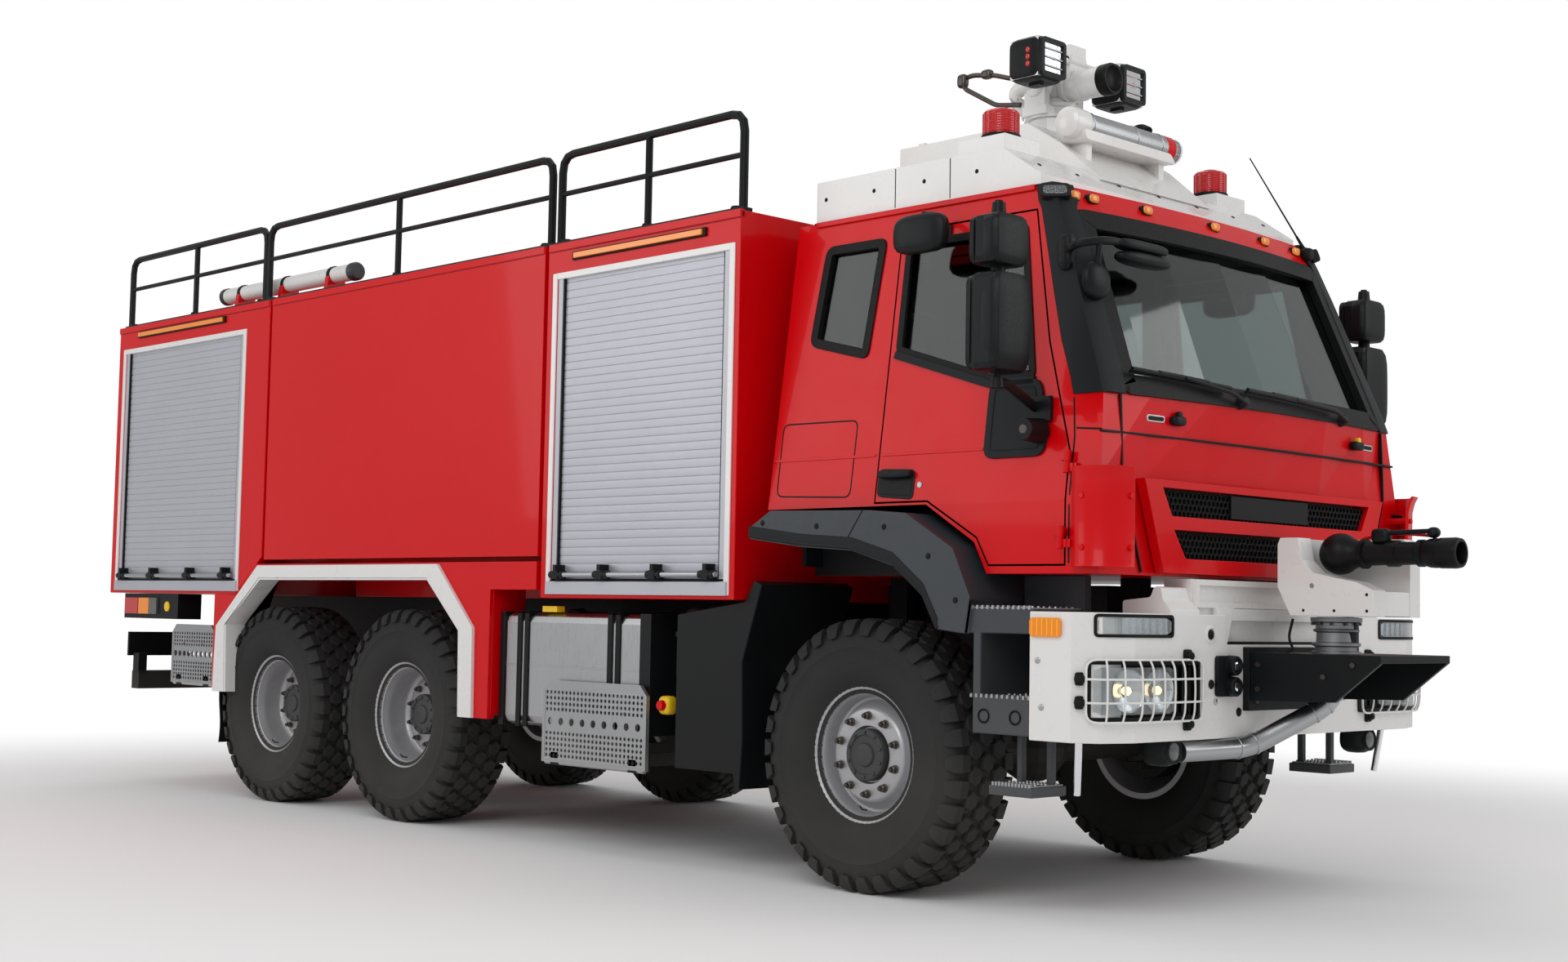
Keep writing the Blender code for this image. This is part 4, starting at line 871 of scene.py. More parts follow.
def wiper(shape, pivot, ends):
    """A wiper: its blade in its holder, and the arm from its pivot to the blade's middle."""
    blade = [on_cab(0, y, z, 0.03) for y, z in finer(ends, 0.1, closed=False)]
    shape.tube(blade, 0.007, SEAL, 6)
    shape.tube([(x + 0.01, y, z + 0.01) for x, y, z in blade], 0.01, POWDER, 8)
    (y0, z0), (y1, z1) = ends
    grip = on_cab(0, (y0 + y1) / 2, (z0 + z1) / 2 + 0.012, 0.052)
    knee = on_cab(0, pivot[0] + (grip[1] - pivot[0]) * 0.25, pivot[1] + 0.035, 0.05)
    shape.tube(bent([on_cab(0, *pivot, 0.03), knee, grip], 0.05), 0.009, POWDER, 8)
    cap = ((0, 0), (0, 0.026), (0.03, 0.024), (0.045, 0.016), (0.045, 0))
    shape.turned(on_cab(0, *pivot, -0.01), (1, 0, 0.3), cap, POWDER, 16)
    clip = [on_cab(0, y0 + (y1 - y0) * s, z0 + (z1 - z0) * s + 0.014, 0.047) for s in (0.25, 0.5, 0.75)]
    shape.tube(clip, 0.01, POWDER, 8)


def wipers(shape):
    wiper(shape, (-0.26, 2.09), ((-0.95, 2.165), (-0.36, 2.135)))
    wiper(shape, (0.58, 2.085), ((-0.24, 2.14), (0.48, 2.115)))


def honeycomb(shape, low, high, x, cell, look):
    """A hexagonal mesh between two heights, whose ends lean in towards the bottom."""
    rise = cell * 0.866
    for row in range(int((high[1] - low[1]) / rise) + 1):
        z = low[1] + row * rise
        half = low[0] + (high[0] - low[0]) * (z - low[1]) / (high[1] - low[1])
        count = int(half / cell)
        for k in range(-count, count + 1):
            y = (k + (row % 2) / 2) * cell
            if abs(y) <= half:
                turns = (math.pi / 6 + math.pi / 3 * n for n in range(6))
                ring = [(y + cell * 0.56 * math.cos(t), z + cell * 0.56 * math.sin(t)) for t in turns]
                frame_bars(shape, ring, cell * 0.13, x - 0.01, x, look, "x")


def grille(shape):
    """The red panel under the windscreen: two sunk openings that narrow downwards, each with its mesh."""
    rows = []
    for z, wide, half in GRILLE_ROWS:
        rows.append([shape.bm.verts.new((1.293, y, z)) for y in (-wide, -half, half, wide)])
    faces = []
    for row, (upper, lower) in enumerate(zip(rows, rows[1:])):
        for k in range(3):
            if k != 1 or row not in OPENINGS:
                faces.append(shape.bm.faces.new((upper[k], upper[k + 1], lower[k + 1], lower[k])))
    grown = bmesh.ops.extrude_face_region(shape.bm, geom=faces)["geom"]
    moved = [v for v in grown if isinstance(v, bmesh.types.BMVert)]
    bmesh.ops.translate(shape.bm, vec=(-0.045, 0, 0), verts=moved)
    shape.paint(shape.bm.faces, RED)
    cell = bpy.context.scene.truck_sizes.grille_cell
    for z0, z1, wide, narrow in ((1.597, 1.715, 0.8, 0.735), (1.429, 1.549, 0.722, 0.64)):
        back = ((-wide - 0.01, z1), (wide + 0.01, z1), (narrow + 0.01, z0), (-narrow - 0.01, z0))
        shape.plate("x", back, 1.2405, 1.247, GRILLE)
        honeycomb(shape, (narrow - 0.012, z0 + 0.014), (wide - 0.012, z1 - 0.01), 1.275, cell, GRILLE)
    shape.box((1.247, -0.3, 1.608), (1.282, 0.3, 1.704), GRILLE)


def deflector(shape, side):
    """A curved vane that stands off the cab's front corner on four posts."""
    rows = []
    for z, flare in ((1.385, 0.006), (1.4, 0.0), (1.56, 0.0), (1.7, 0.002), (1.745, 0.012), (1.775, 0.026)):
        outer = [(x + flare * 0.7, side * (y + flare), z) for x, y in VANE]
        inner = [(x - 0.01 + flare * 0.7, side * (y - 0.012 + flare), z) for x, y in VANE]
        rows.append(outer + inner[::-1])
    shape.rings(rows, RED)
    for z in (1.46, 1.66):
        shape.rod((1.2, side * 1.14, z), (1.2, side * 1.214, z), 0.016, RED, 0.012, 12)
        shape.rod((1.22, side * 1.07, z), (1.352, side * 1.085, z), 0.016, RED, 0.012, 12)
    for z in (1.43, 1.55, 1.68):
        shape.block(side, (1.19, 1.26), (1.1, 1.165), (z, z + 0.012), GRILLE)


def cab_details(shape):
    """Seams, hatch lines, roof markers, gutters, the catches under the windscreen and the aerial."""
    hatch = rounded(((-0.57, 2.042), (-0.098, 2.037), (-0.1, 1.69), (-0.566, 1.706)), 0.04)
    for side in (-1, 1):
        cab_frame(shape, side, hatch, 0.007, -0.002, 0.0012)
        cab_band(shape, side, ((-0.6, 1.872), (0.028, 1.872)), 0.012, -0.002, 0.004, RED)
        for path in (((1.095, 1.4), (1.095, 1.9), (1.075, 2.06)), ((1.1, 1.935), (1.225, 1.925))):
            cab_band(shape, side, path, 0.008, -0.002, 0.0012)
        for path in (((1.01, 2.068), (1.01, 1.76), (0.88, 1.372)), ((1.02, 1.918), (1.118, 1.918))):
            cab_band(shape, 0, [(side * y, z) for y, z in path], 0.009, -0.012, 0.01)
        shape.block(side, (-0.49, 0.78), (0.97, 0.992), (2.952, 2.974), RED)
    cab_band(shape, 0, ((-1.01, 1.918), (1.01, 1.918)), 0.009, -0.012, 0.01)
    shape.box((-0.515, -0.978, 2.962), (0.806, 0.978, 2.976), SEAL)
    for y in MARKERS_Y:
        spot = on_cab(0, y, 2.928, 0.004)
        shape.pod(spot, (0.02, 0.032, 0.019), AMBER)
        shape.pod((spot[0] - 0.004, y, 2.926), (0.018, 0.036, 0.023), SEAL)
    oval = oblong(-0.055, 0.055, -0.014, 0.014, 0.012)
    for y, way, look in ((-0.8, 1, POWDER), (0.86, -1, YELLOW)):
        cab_panel(shape, 0, [(y + a, 1.988 + b) for a, b in oval], -0.004, 0.004, REFLECTOR)
        cab_panel(shape, 0, [(y + a * 0.85, 1.988 + b * 0.6) for a, b in oval], 0.0, 0.0055, SEAL)
        knob = Vector(on_cab(0, y + way * 0.125, 1.987, 0.012))
        shape.pod(knob, (0.022, 0.042, 0.02), POWDER)
        shape.pod(knob + Vector((0.006, 0, 0.018)), (0.012, 0.014, 0.02), look)
    base, tip = Vector((0.925, 0.885, 2.925)), Vector((0.6, 0.9, 3.44))
    shape.pod(base, (0.028, 0.028, 0.03), SEAL)
    shape.rod(base, base.lerp(tip, 0.18), 0.01, POWDER, 0.006)
    shape.rod(base.lerp(tip, 0.17), tip, 0.0045, POWDER, 0.003)


def quarter_pane(shape, side):
    cab_panel(shape, side, QUARTER, -0.022, -0.016, "tinted laminated glass")


def quarter_seal(shape, side):
    cab_frame(shape, side, rounded(shrunk(QUARTER, -0.022), 0.05), 0.042, -0.03, 0.008)


def door_trim(shape, side):
    """What a door carries: its window seal, sill strip, lower trim, handle, crease and ramp mirror."""
    cab_frame(shape, side, rounded(shrunk(WINDOW, -0.016), 0.035), 0.034, -0.01, 0.006)
    cab_band(shape, side, ((0.085, 2.312), (0.63, 2.145), (0.87, 2.145)), 0.034, -0.004, 0.012, TRIM)
    lower = rounded(((0.64, 2.15), (0.64, 1.83), (0.95, 1.83), (0.965, 1.92), (0.905, 2.15)), 0.05)
    cab_panel(shape, side, lower, -0.004, 0.012, TRIM)
    cab_frame(shape, side, shrunk(lower, 0.03), 0.006, 0.01, 0.015, TRIM)
    pocket = rounded(((0.057, 1.69), (0.27, 1.672), (0.27, 1.802), (0.057, 1.812)), 0.03)
    cab_panel(shape, side, pocket, -0.004, 0.003, TRIM)
    cab_panel(shape, side, shrunk(pocket, 0.014), 0.0, 0.0045, GRILLE)
    shape.pod(on_cab(side, 0.165, 1.785, 0.022), (0.095, 0.017, 0.018), TRIM)
    for x in (0.085, 0.245):
        shape.pod(on_cab(side, x, 1.785, 0.008), (0.014, 0.016, 0.015), TRIM)
    shape.rod((0.3, side * 1.12, 1.735), on_cab(side, 0.3, 1.735, 0.004), 0.014, STAINLESS)
    cab_band(shape, side, ((0.062, 1.872), (0.63, 1.872)), 0.012, -0.002, 0.004, RED)
    arm = bent(((0.3, side * 1.0, 2.845), (0.3, side * 1.05, 2.9), (0.31, side * 1.15, 2.885)), 0.03)
    shape.tube(arm, 0.014, POWDER)
    shape.block(side, (0.26, 0.34), (0.985, 1.006), (2.8, 2.86), POWDER)
    shape.pod((0.31, side * 1.165, 2.8), (0.145, 0.04, 0.085), POWDER)
    shape.plate("y", oblong(0.19, 0.43, 2.75, 2.85, 0.04), side * 1.12, side * 1.128, MIRROR)


def mirror_trim(shape, side):
    """Mirror glass, the joint lines of the housings, brackets and the drum at the arm's foot."""
    for x, y0, y1, z0, z1 in ((0.858, 1.295, 1.485, 2.16, 2.51), (0.868, 1.3, 1.48, 2.575, 2.745)):
        outline = oblong(side * y0, side * y1, z0, z1, 0.03)
        shape.plate("x", outline, x - 0.004, x + 0.012, MIRROR)
        frame_bars(shape, shrunk(outline, -0.012), 0.014, x - 0.01, x + 0.012, POWDER, "x")
    shape.pod((0.958, side * 1.39, 2.335), (0.058, 0.112, 0.2), POWDER, square=5.0)
    shape.pod((0.955, side * 1.39, 2.66), (0.05, 0.106, 0.104), POWDER, square=5.0)
    for z in (2.1, 2.548, 2.79):
        shape.rod((0.93, side * 1.4, z - 0.022), (0.93, side * 1.4, z + 0.022), 0.03, POWDER, 0.026)
    shape.rod((0.93, side * 1.13, 1.93), (0.93, side * 1.235, 1.93), 0.052, POWDER, 0.044)
    shape.rod((0.93, side * 1.234, 1.93), (0.93, side * 1.24, 1.93), 0.022, STEEL, 0.018)


def kerb_mirror(shape):
    """The arm over the windscreen's right corner with its long kerb mirror and the round one beneath."""
    foot = Vector((0.985, -1.035, 2.66))
    arm = bent((foot, (1.075, -1.1, 2.675), (1.135, -0.98, 2.7), (1.13, -0.66, 2.705)), 0.06)
    shape.tube(arm, 0.017, POWDER)
    shape.pod(foot, (0.035, 0.03, 0.075), POWDER)
    shape.pod((1.135, -0.74, 2.7), (0.042, 0.165, 0.022), POWDER)
    shape.pod((1.13, -0.72, 2.65), (0.05, 0.175, 0.03), POWDER, square=2.6)
    shape.rod((1.12, -1.0, 2.69), (1.115, -1.0, 2.6), 0.012, POWDER)
    shape.pod((1.105, -1.0, 2.535), (0.034, 0.082, 0.076), POWDER, square=2.2)


class TRUCK_OT_cab(bpy.types.Operator):
    """Makes the cab's pillars, seals, grille, mirrors, wipers, lamps and door furniture"""

    bl_idname = "truck.cab"
    bl_label = "Cab"

    def execute(self, context):
        put(screen_seal, "screen_seal", "truck", "black_paint", 0.003)
        put(wipers, "wipers", "truck", "black_paint", 0)
        put(grille, "grille", "truck", "red_paint", 0.006, 30, ["front_panel"])
        put(cab_details, "cab_details", "truck", "grey_plastic", 0.001)
        for word, side in SIDES.items():
            for make, body, slot, chamfer in (
                (pillar, "truck", "grey_plastic", 0.004), (deflector, "truck", "red_paint", 0.003),
                (quarter_pane, "truck", "glazing", 0), (quarter_seal, "truck", "black_paint", 0.003),
                (door_trim, f"door_{word}", "grey_plastic", 0.002),
                (mirror_trim, f"door_{word}", "black_paint", 0.002),
            ):
                put(make, f"{make.__name__}_{word}", body, slot, chamfer, args=(side,))
        put(kerb_mirror, "kerb_mirror", "truck", "black_paint", 0.002)
        return {"FINISHED"}


# ---------------------------------------------------------------- bumper and turret

BUMPER_LINE = ((1.34, 0.0), (1.34, 1.05), (1.29, 1.2), (1.2, 1.27), (1.0, 1.27))
TURRET = Vector((1.62, -0.01, 1.47))
CAGE = (0.62, 1.262, 0.79, 1.03)  # along the bumper, then up
BOWL = ((-0.03, 0.0), (-0.03, 0.02), (-0.02, 0.052), (-0.008, 0.074), (-0.004, 0.084), (-0.03, 0.084))
TURRET_RINGS = (
    (0.0, 0.1), (0.01, 0.1), (0.014, 0.086), (0.03, 0.086), (0.034, 0.098), (0.046, 0.098), (0.05, 0.082),
    (0.088, 0.08), (0.092, 0.092), (0.1, 0.094), (0.104, 0.083), (0.128, 0.083), (0.132, 0.104),
    (0.15, 0.104), (0.15, 0.0),
)
TURRET_TUBE = (
    (0.075, 0.056), (0.1, 0.054), (0.104, 0.062), (0.12, 0.062), (0.124, 0.05), (0.215, 0.046),
    (0.219, 0.054), (0.262, 0.054), (0.266, 0.047), (0.345, 0.046), (0.352, 0.055), (0.372, 0.055),
    (0.376, 0.05), (0.4, 0.058), (0.428, 0.06), (0.432, 0.056), (0.44, 0.056), (0.444, 0.061),
    (0.51, 0.062), (0.528, 0.058), (0.53, 0.046), (0.505, 0.041), (0.44, 0.036), (0.44, 0.0),
)


def along_bumper(side, s, z, out):
    """A point off the bumper's face, that far round it from the truck's middle."""
    points = [Vector(p) for p in BUMPER_LINE]
    legs = [b - a for a, b in zip(points, points[1:])]
    turns = [a.normalized() + b.normalized() for a, b in zip(legs, legs[1:])]
    facing = [Vector((1, 0))] + [Vector((t.y, -t.x)).normalized() for t in turns] + [Vector((0, 1))]
    for k, leg in enumerate(legs):
        if s <= leg.length or k == len(legs) - 1:
            break
        s -= leg.length
    spot = points[k] + leg * (s / leg.length)
    spot += facing[k].lerp(facing[k + 1], s / leg.length).normalized() * out
    return (spot.x, side * spot.y, z)


def off_bumper(side, s, z):
    """A place on the bumper's face, and which way it faces there."""
    spot = Vector(along_bumper(side, s, z, 0))
    return spot, Vector(along_bumper(side, s, z, 1)) - spot


def bumper_panel(shape, side, s, z, depth, look, steps=14):
    """A panel with cut corners that follows the bumper's face, in strips along it."""
    rows = []
    for k in range(steps + 1):
        trim = 0.012 if k in (0, steps) else 0.0
        low, high, (near, far) = z[0] + trim, z[1] - trim, depth
        corners = ((near, low), (far, low), (far, high), (near, high))
        rows.append([along_bumper(side, s[0] + (s[1] - s[0]) * k / steps, h, out) for out, h in corners])
    shape.rings(rows, look)


def bumper_frame(shape, side, outline, width, near, far):
    framed(shape, finer(outline, 0.05), width, near, far, SEAL,
           lambda s, z, out: along_bumper(side, s, z, out))


def head_lamps(shape, side):
    """The two lamp units of one side: a slim one above, and the main one behind its wire cage."""
    bumper_panel(shape, side, (0.81, 1.22), (1.128, 1.192), (-0.026, -0.018), REFLECTOR)
    for k in range(9):
        s = 0.83 + 0.045 * k
        bumper_panel(shape, side, (s, s + 0.006), (1.13, 1.19), (-0.02, -0.008), REFLECTOR)
    bumper_panel(shape, side, (0.81, 1.22), (1.128, 1.192), (-0.006, 0.002), CLEAR)
    bumper_frame(shape, side, oblong(0.795, 1.235, 1.115, 1.205), 0.012, -0.022, 0.006)
    bumper_panel(shape, side, (0.63, 1.245), (0.805, 1.015), (-0.034, -0.028), GRILLE)
    bumper_frame(shape, side, oblong(0.615, 1.26, 0.793, 1.027), 0.016, -0.03, 0.007)
    bulb = ((-0.03, 0.0), (-0.03, 0.016), (-0.01, 0.018), (-0.002, 0.012), (0.0, 0.0))
    for s in (0.885, 1.075):
        spot, ahead = off_bumper(side, s, 0.91)
        shape.turned(spot, ahead, BOWL, REFLECTOR, 28)
        shape.turned(spot, ahead, bulb, "lit bulb", 16)
    bumper_panel(shape, side, (0.79, 1.235), (0.82, 1.0), (0.0, 0.005), CLEAR)
    for s in (0.655, 0.7, 0.745):
        bumper_panel(shape, side, (s, s + 0.02), (0.82, 1.0), (-0.03, -0.012), GRILLE)


def lamp_cage(shape, side):
    """The white wire guard in front of a head lamp, with its rubber latches."""
    start, end, low, high = CAGE
    edge = oblong(*CAGE, 0.04)
    loop = finer(edge + edge[:1], 0.04, closed=False)
    shape.tube([along_bumper(side, s, z, 0.022) for s, z in loop], 0.0048, WIRE, 8)
    for z in (0.865, 0.955):
        path = [along_bumper(side, start - 0.01, z, 0.006)]
        for t in (k / 16 for k in range(17)):
            bow = 0.022 + 0.02 * math.sin(math.pi * t) ** 0.5
            path.append(along_bumper(side, start + (end - start) * t, z, bow))
        shape.tube(path + [along_bumper(side, end + 0.02, z, 0.004)], 0.0045, WIRE, 8)
    for t in (k / 9 for k in range(1, 9)):
        lift = 0.022 + 0.02 * math.sin(math.pi * t) ** 0.5
        heights = ((low, 0.022), (low + 0.03, lift), (0.91, lift + 0.004), (high - 0.03, lift), (high, 0.022))
        bar = [along_bumper(side, start + (end - start) * t, z, out) for z, out in heights]
        shape.tube(bent(bar, 0.02, 3), 0.0042, WIRE, 8)
    for s, z in ((1.285, 0.865), (1.285, 0.955), (0.7, 1.045), (0.7, 0.775)):
        shape.pod(along_bumper(side, s, z, 0.012), (0.022, 0.018, 0.018), SEAL, square=2.5)
        shape.pod(along_bumper(side, s, z, 0.002), (0.01, 0.026, 0.026), SEAL, square=5.0)


def bumper_front(shape):
    """What stands in the bumper's middle: the mesh, the beam over it, tabs, a sensor and small lamps."""
    shape.box((1.17, -0.615, 1.195), (1.3, 0.615, 1.352), WHITE)
    beam = ((-0.6, 1.238), (0.6, 1.238), (0.6, 1.35), (-0.6, 1.35))
    frame_bars(shape, beam, 0.022, 1.29, 1.318, WHITE, "x")
    shape.box((1.2, -0.46, 1.188), (1.334, 0.46, 1.236), WHITE)
    tab = rounded(((1.1, 1.18), (1.336, 1.18), (1.332, 1.225), (1.295, 1.262), (1.282, 1.318), (1.252, 1.318),
                   (1.235, 1.275), (1.1, 1.262)), 0.014)
    for side in (-1, 1):
        wedge = [(side * y, z) for y, z in ((0.47, 1.24), (0.36, 1.24), (0.41, 1.088), (0.47, 1.088))]
        shape.plate("x", wedge, 1.2, 1.336, WHITE)
        shape.plate("y", tab, side * 0.6, side * 0.8, WHITE)
        for s, z in ((1.46, 0.84), (0.5, 0.86), (1.48, 1.02)):
            screw = ((-0.004, 0.0), (-0.004, 0.013), (0.004, 0.012), (0.007, 0.006), (0.007, 0))
            shape.turned(*off_bumper(side, s, z), screw, STAINLESS, 12)
        bumper_panel(shape, side, (1.365, 1.515), (1.112, 1.186), (-0.01, 0.012), AMBER)
        # Six ribs over each bumper lamp in the lighter, glowing copy of the amber: a painted glint on the lens.
        for k in range(6):
            s = 1.378 + 0.024 * k
            bumper_panel(shape, side, (s, s + 0.006), (1.116, 1.182), (0.0, 0.0135), "amber prism")
    shape.box((1.19, -0.41, 1.1), (1.272, 0.41, 1.188), GRILLE)
    honeycomb(shape, (0.385, 1.116), (0.385, 1.182), 1.295, 0.022, POWDER)
    shape.box((1.2, -0.41, 1.078), (1.33, 0.41, 1.102), GRILLE)
    ahead = (1, 0, 0)
    cup = ((0, 0), (0, 0.04), (0.008, 0.038), (0.01, 0.026), (0.004, 0.024), (0.004, 0))
    shape.turned((1.335, -0.535, 1.13), ahead, cup, WHITE, 24)
    dome = ((0, 0), (0, 0.021), (0.006, 0.02), (0.01, 0.01), (0.01, 0))
    shape.turned((1.338, -0.535, 1.13), ahead, dome, GRILLE, 20)
    for y, z, r in ((-0.53, 0.93, 0.02), (-0.33, 0.815, 0.019), (0.53, 0.93, 0.02), (0.5, 1.03, 0.012)):
        plug = ((0, 0), (0, r), (0.008, r * 0.95), (0.012, r * 0.6), (0.012, 0))
        shape.turned((1.335, y, z), ahead, plug, SEAL, 20)
    shape.plate("x", oblong(-0.505, -0.405, 0.88, 1.045), 1.33, 1.356, POWDER)
    barrel = ((0, 0), (0, 0.042), (0.045, 0.04), (0.052, 0.034), (0.052, 0.026), (0.04, 0.022), (0.04, 0))
    for z in (1.005, 0.92):
        shape.turned((1.335, -0.405, z), ahead, barrel, POWDER, 24)
        dome = ((0, 0), (0, 0.022), (0.012, 0.019), (0.016, 0.008), (0.016, 0))
        shape.turned((1.372, -0.405, z), ahead, dome, REFLECTOR, 20)


def under_bumper(shape):
    """Fog lamps, and the delivery pipe that drops from the turret's bracket."""
    body = ((0, 0), (0, 0.05), (0.025, 0.05), (0.03, 0.044), (0.022, 0.04), (0.022, 0))
    glass = ((0, 0), (0, 0.038), (0.006, 0.036), (0.01, 0.018), (0.01, 0))
    for y in (-0.73, 0.79):
        shape.pod((1.235, y, 0.665), (0.07, 0.058, 0.062), POWDER, square=3.0)
        shape.turned((1.28, y, 0.665), (1, 0, 0), body, POWDER, 24)
        shape.turned((1.298, y, 0.665), (1, 0, 0), glass, CLEAR, 24)
        shape.box((1.2, y - 0.02, 0.7), (1.25, y + 0.02, 0.76), POWDER)
    pipe = bent(((1.6, -0.01, 0.99), (1.6, -0.04, 0.86), (1.37, -0.3, 0.672), (1.28, -0.66, 0.66)), 0.09, 8)
    shape.tube(pipe, 0.042, STAINLESS, 20)
    for k in (3, 6, 9, 13, 17):
        a, b = pipe[k], pipe[k + 1]
        heading = (b - a).normalized() * 0.006
        shape.rod(a - heading, a + heading, 0.0455, STAINLESS, 0.0455, 20)
    for side in (-1, 1):
        shape.rod((1.16, side * 1.16, 0.75), (1.13, side * 1.13, 0.5), 0.016, REFLECTOR, 0.014)


def turret_column(shape):
    """The turret's turning column with its flange bolts, the bracket's bolts and a small hose."""
    shape.turned((1.6, -0.01, 1.058), (0, 0, 1), TURRET_RINGS, CAST, 40)
    for spot in around((1.6, -0.01, 1.176), 0.094, 10):
        shape.stud(spot, (0, 0, 1), 0.008, 0.012, STEEL, 6)
    for out in (-1, 1):
        for x, z in ((1.4, 0.91), (1.4, 1.01), (1.7, 0.97), (1.83, 1.02)):
            shape.stud((x, out * 0.279, z), (0, out, 0), 0.014, 0.01, STEEL, 6, 0.012)
        for z in (0.86, 1.04):
            shape.stud((1.368, out * 0.25, z), (1, 0, 0), 0.014, 0.012, STEEL, 6, 0.012)
    hose = bent(((1.47, -0.13, 1.2), (1.46, -0.15, 1.12), (1.5, -0.17, 1.07), (1.42, -0.2, 1.05)), 0.03)
    shape.tube(hose, 0.006, SEAL, 8)


def turret_housing(shape):
    """The white yoke: a base, a back wall, a low cheek on the right and a tall one on the left."""
    foot, back = ((1.5, 1.213), (1.872, 1.213)), ((1.452, 1.532), (1.44, 1.505), (1.44, 1.33))
    shoulder = ((1.872, 1.318), (1.8, 1.35), (1.7, 1.368), (1.605, 1.388), (1.552, 1.44), (1.535, 1.532))
    base = ((1.502, 1.216), (1.868, 1.216), (1.868, 1.314), (1.444, 1.33))
    wall = ((1.441, 1.3), (1.505, 1.3), (1.505, 1.53), (1.454, 1.529), (1.443, 1.505))
    for outline, near, far in (
        (foot + shoulder + back, -0.2, -0.102), (foot + ((1.872, 1.5), (1.842, 1.532)) + back, 0.098, 0.18),
        (base, -0.106, 0.102), (wall, -0.106, 0.102),
    ):
        shape.plate("y", outline, near, far, WHITE)
    for x, z in ((1.56, 1.235), (1.7, 1.235), (1.845, 1.235), (1.845, 1.3)):
        shape.stud((x, -0.199, z), (0, -1, 0), 0.007, 0.003, SEAL, 10, 0.006)
    shape.stud((1.6, -0.199, 1.335), (0, -1, 0), 0.011, 0.004, STAINLESS, 12, 0.01)


def turret_barrel(shape):
    """The barrel from its ball to its lipped mouth, with a hose and a lever along its top."""
    ball = [(-0.086 * math.cos(t), 0.086 * math.sin(t)) for t in (math.radians(8 * k) for k in range(17))]
    shape.turned(TURRET, (1, 0, 0), ball + list(TURRET_TUBE), GRILLE, 40)
    hose = ((0.09, 0.02, 0.062), (0.2, 0.03, 0.085), (0.38, 0.02, 0.072), (0.42, 0.0, 0.062))
    shape.tube(bent([TURRET + Vector(p) for p in hose], 0.05), 0.006, RED, 8)
    shape.rod(TURRET + Vector((0.16, -0.01, 0.082)), TURRET + Vector((0.42, -0.01, 0.088)), 0.01, POWDER)
    shape.pod(TURRET + Vector((0.19, -0.01, 0.072)), (0.04, 0.024, 0.03), POWDER)
    shape.pod(TURRET + Vector((0.415, -0.005, 0.082)), (0.026, 0.026, 0.022), POWDER, square=2.2)


class TRUCK_OT_front(bpy.types.Operator):
    """Makes the bumper's lamps, cages and fittings, and the turret on it"""

    bl_idname = "truck.front"
    bl_label = "Bumper and turret"

    def execute(self, context):
        for word, side in SIDES.items():
            put(head_lamps, f"head_lamps_{word}", "truck", "dark_steel", 0, args=(side,))
            put(lamp_cage, f"lamp_cage_{word}", "truck", "white_paint", 0, args=(side,))
        for make, body, slot, chamfer, gone in (
            (bumper_front, "truck", "white_paint", 0.004, ()), (under_bumper, "truck", "dark_steel", 0.002, ()),
            (turret_column, "truck", "aluminium", 0.001, ()),
            (turret_housing, "turret_head", "white_paint", 0.012, ("turret_head",)),
            (turret_barrel, "turret_nozzle", "black_paint", 0.0, ("turret_nozzle",)),
        ):
            put(make, make.__name__, body, slot, chamfer, replaces=gone)
        return {"FINISHED"}


# ---------------------------------------------------------------- roof

MONITOR = Vector((0.1, 0.0, 3.68))
BEACON_SPOTS = ((0.44, -0.8), (0.44, 0.8))
BOTTLE = Vector((0.53, -0.05, 3.38))
RAIL_SPANS = ((-6.85, -5.07), (-5.03, -2.2), (-2.12, -0.76))
MONITOR_FOOT = ((0.0, 0.0), (0.0, 0.14), (0.014, 0.14), (0.018, 0.112), (0.05, 0.108), (0.055, 0.122),
                (0.07, 0.122), (0.074, 0.1), (0.095, 0.09), (0.095, 0.0))
MONITOR_BOSS = ((0.0, 0.0), (0.0, 0.07), (0.012, 0.074), (0.036, 0.074), (0.042, 0.06), (0.056, 0.05),
                (0.06, 0.028), (0.06, 0.0))
MONITOR_TUBE = ((0.065, 0.072), (0.08, 0.078), (0.1, 0.078), (0.104, 0.066), (0.15, 0.066), (0.154, 0.074),
                (0.176, 0.074), (0.18, 0.068), (0.305, 0.072), (0.314, 0.07), (0.316, 0.06), (0.3, 0.0))
MONITOR_MOUTH = ((0.291, 0.0), (0.291, 0.0735), (0.339, 0.0745), (0.349, 0.07), (0.349, 0.061),
                 (0.331, 0.05), (0.32, 0.032), (0.32, 0.0))


def beacon(shape, x, y):
    """A flashing beacon: its white foot, seal and ribbed red lens."""
    for z, look, profile in (
        (3.225, WHITE, ((0, 0), (0, 0.098), (0.012, 0.098), (0.02, 0.088), (0.02, 0))),
        (3.245, SEAL, ((0, 0), (0, 0.086), (0.018, 0.086), (0.022, 0.08), (0.022, 0))),
    ):
        shape.turned((x, y, z), (0, 0, 1), profile, look, 40)
    rows = [(0.0, 0.0), (0.0, 0.077)]
    for z in (0.006 + 0.011 * k for k in range(8)):
        rows += [(z, 0.0765), (z + 0.004, 0.0795), (z + 0.008, 0.0765)]
    rows += [(0.098, 0.078), (0.106, 0.07), (0.11, 0.045), (0.118, 0.035), (0.12, 0.0)]
    shape.turned((x, y, 3.265), (0, 0, 1), rows, RED_LENS, 48)
    for foot in around((x, y, 3.268), 0.0775, 16):
        shape.rod(foot, foot + Vector((0, 0, 0.092)), 0.0035, RED_LENS, sides=6)


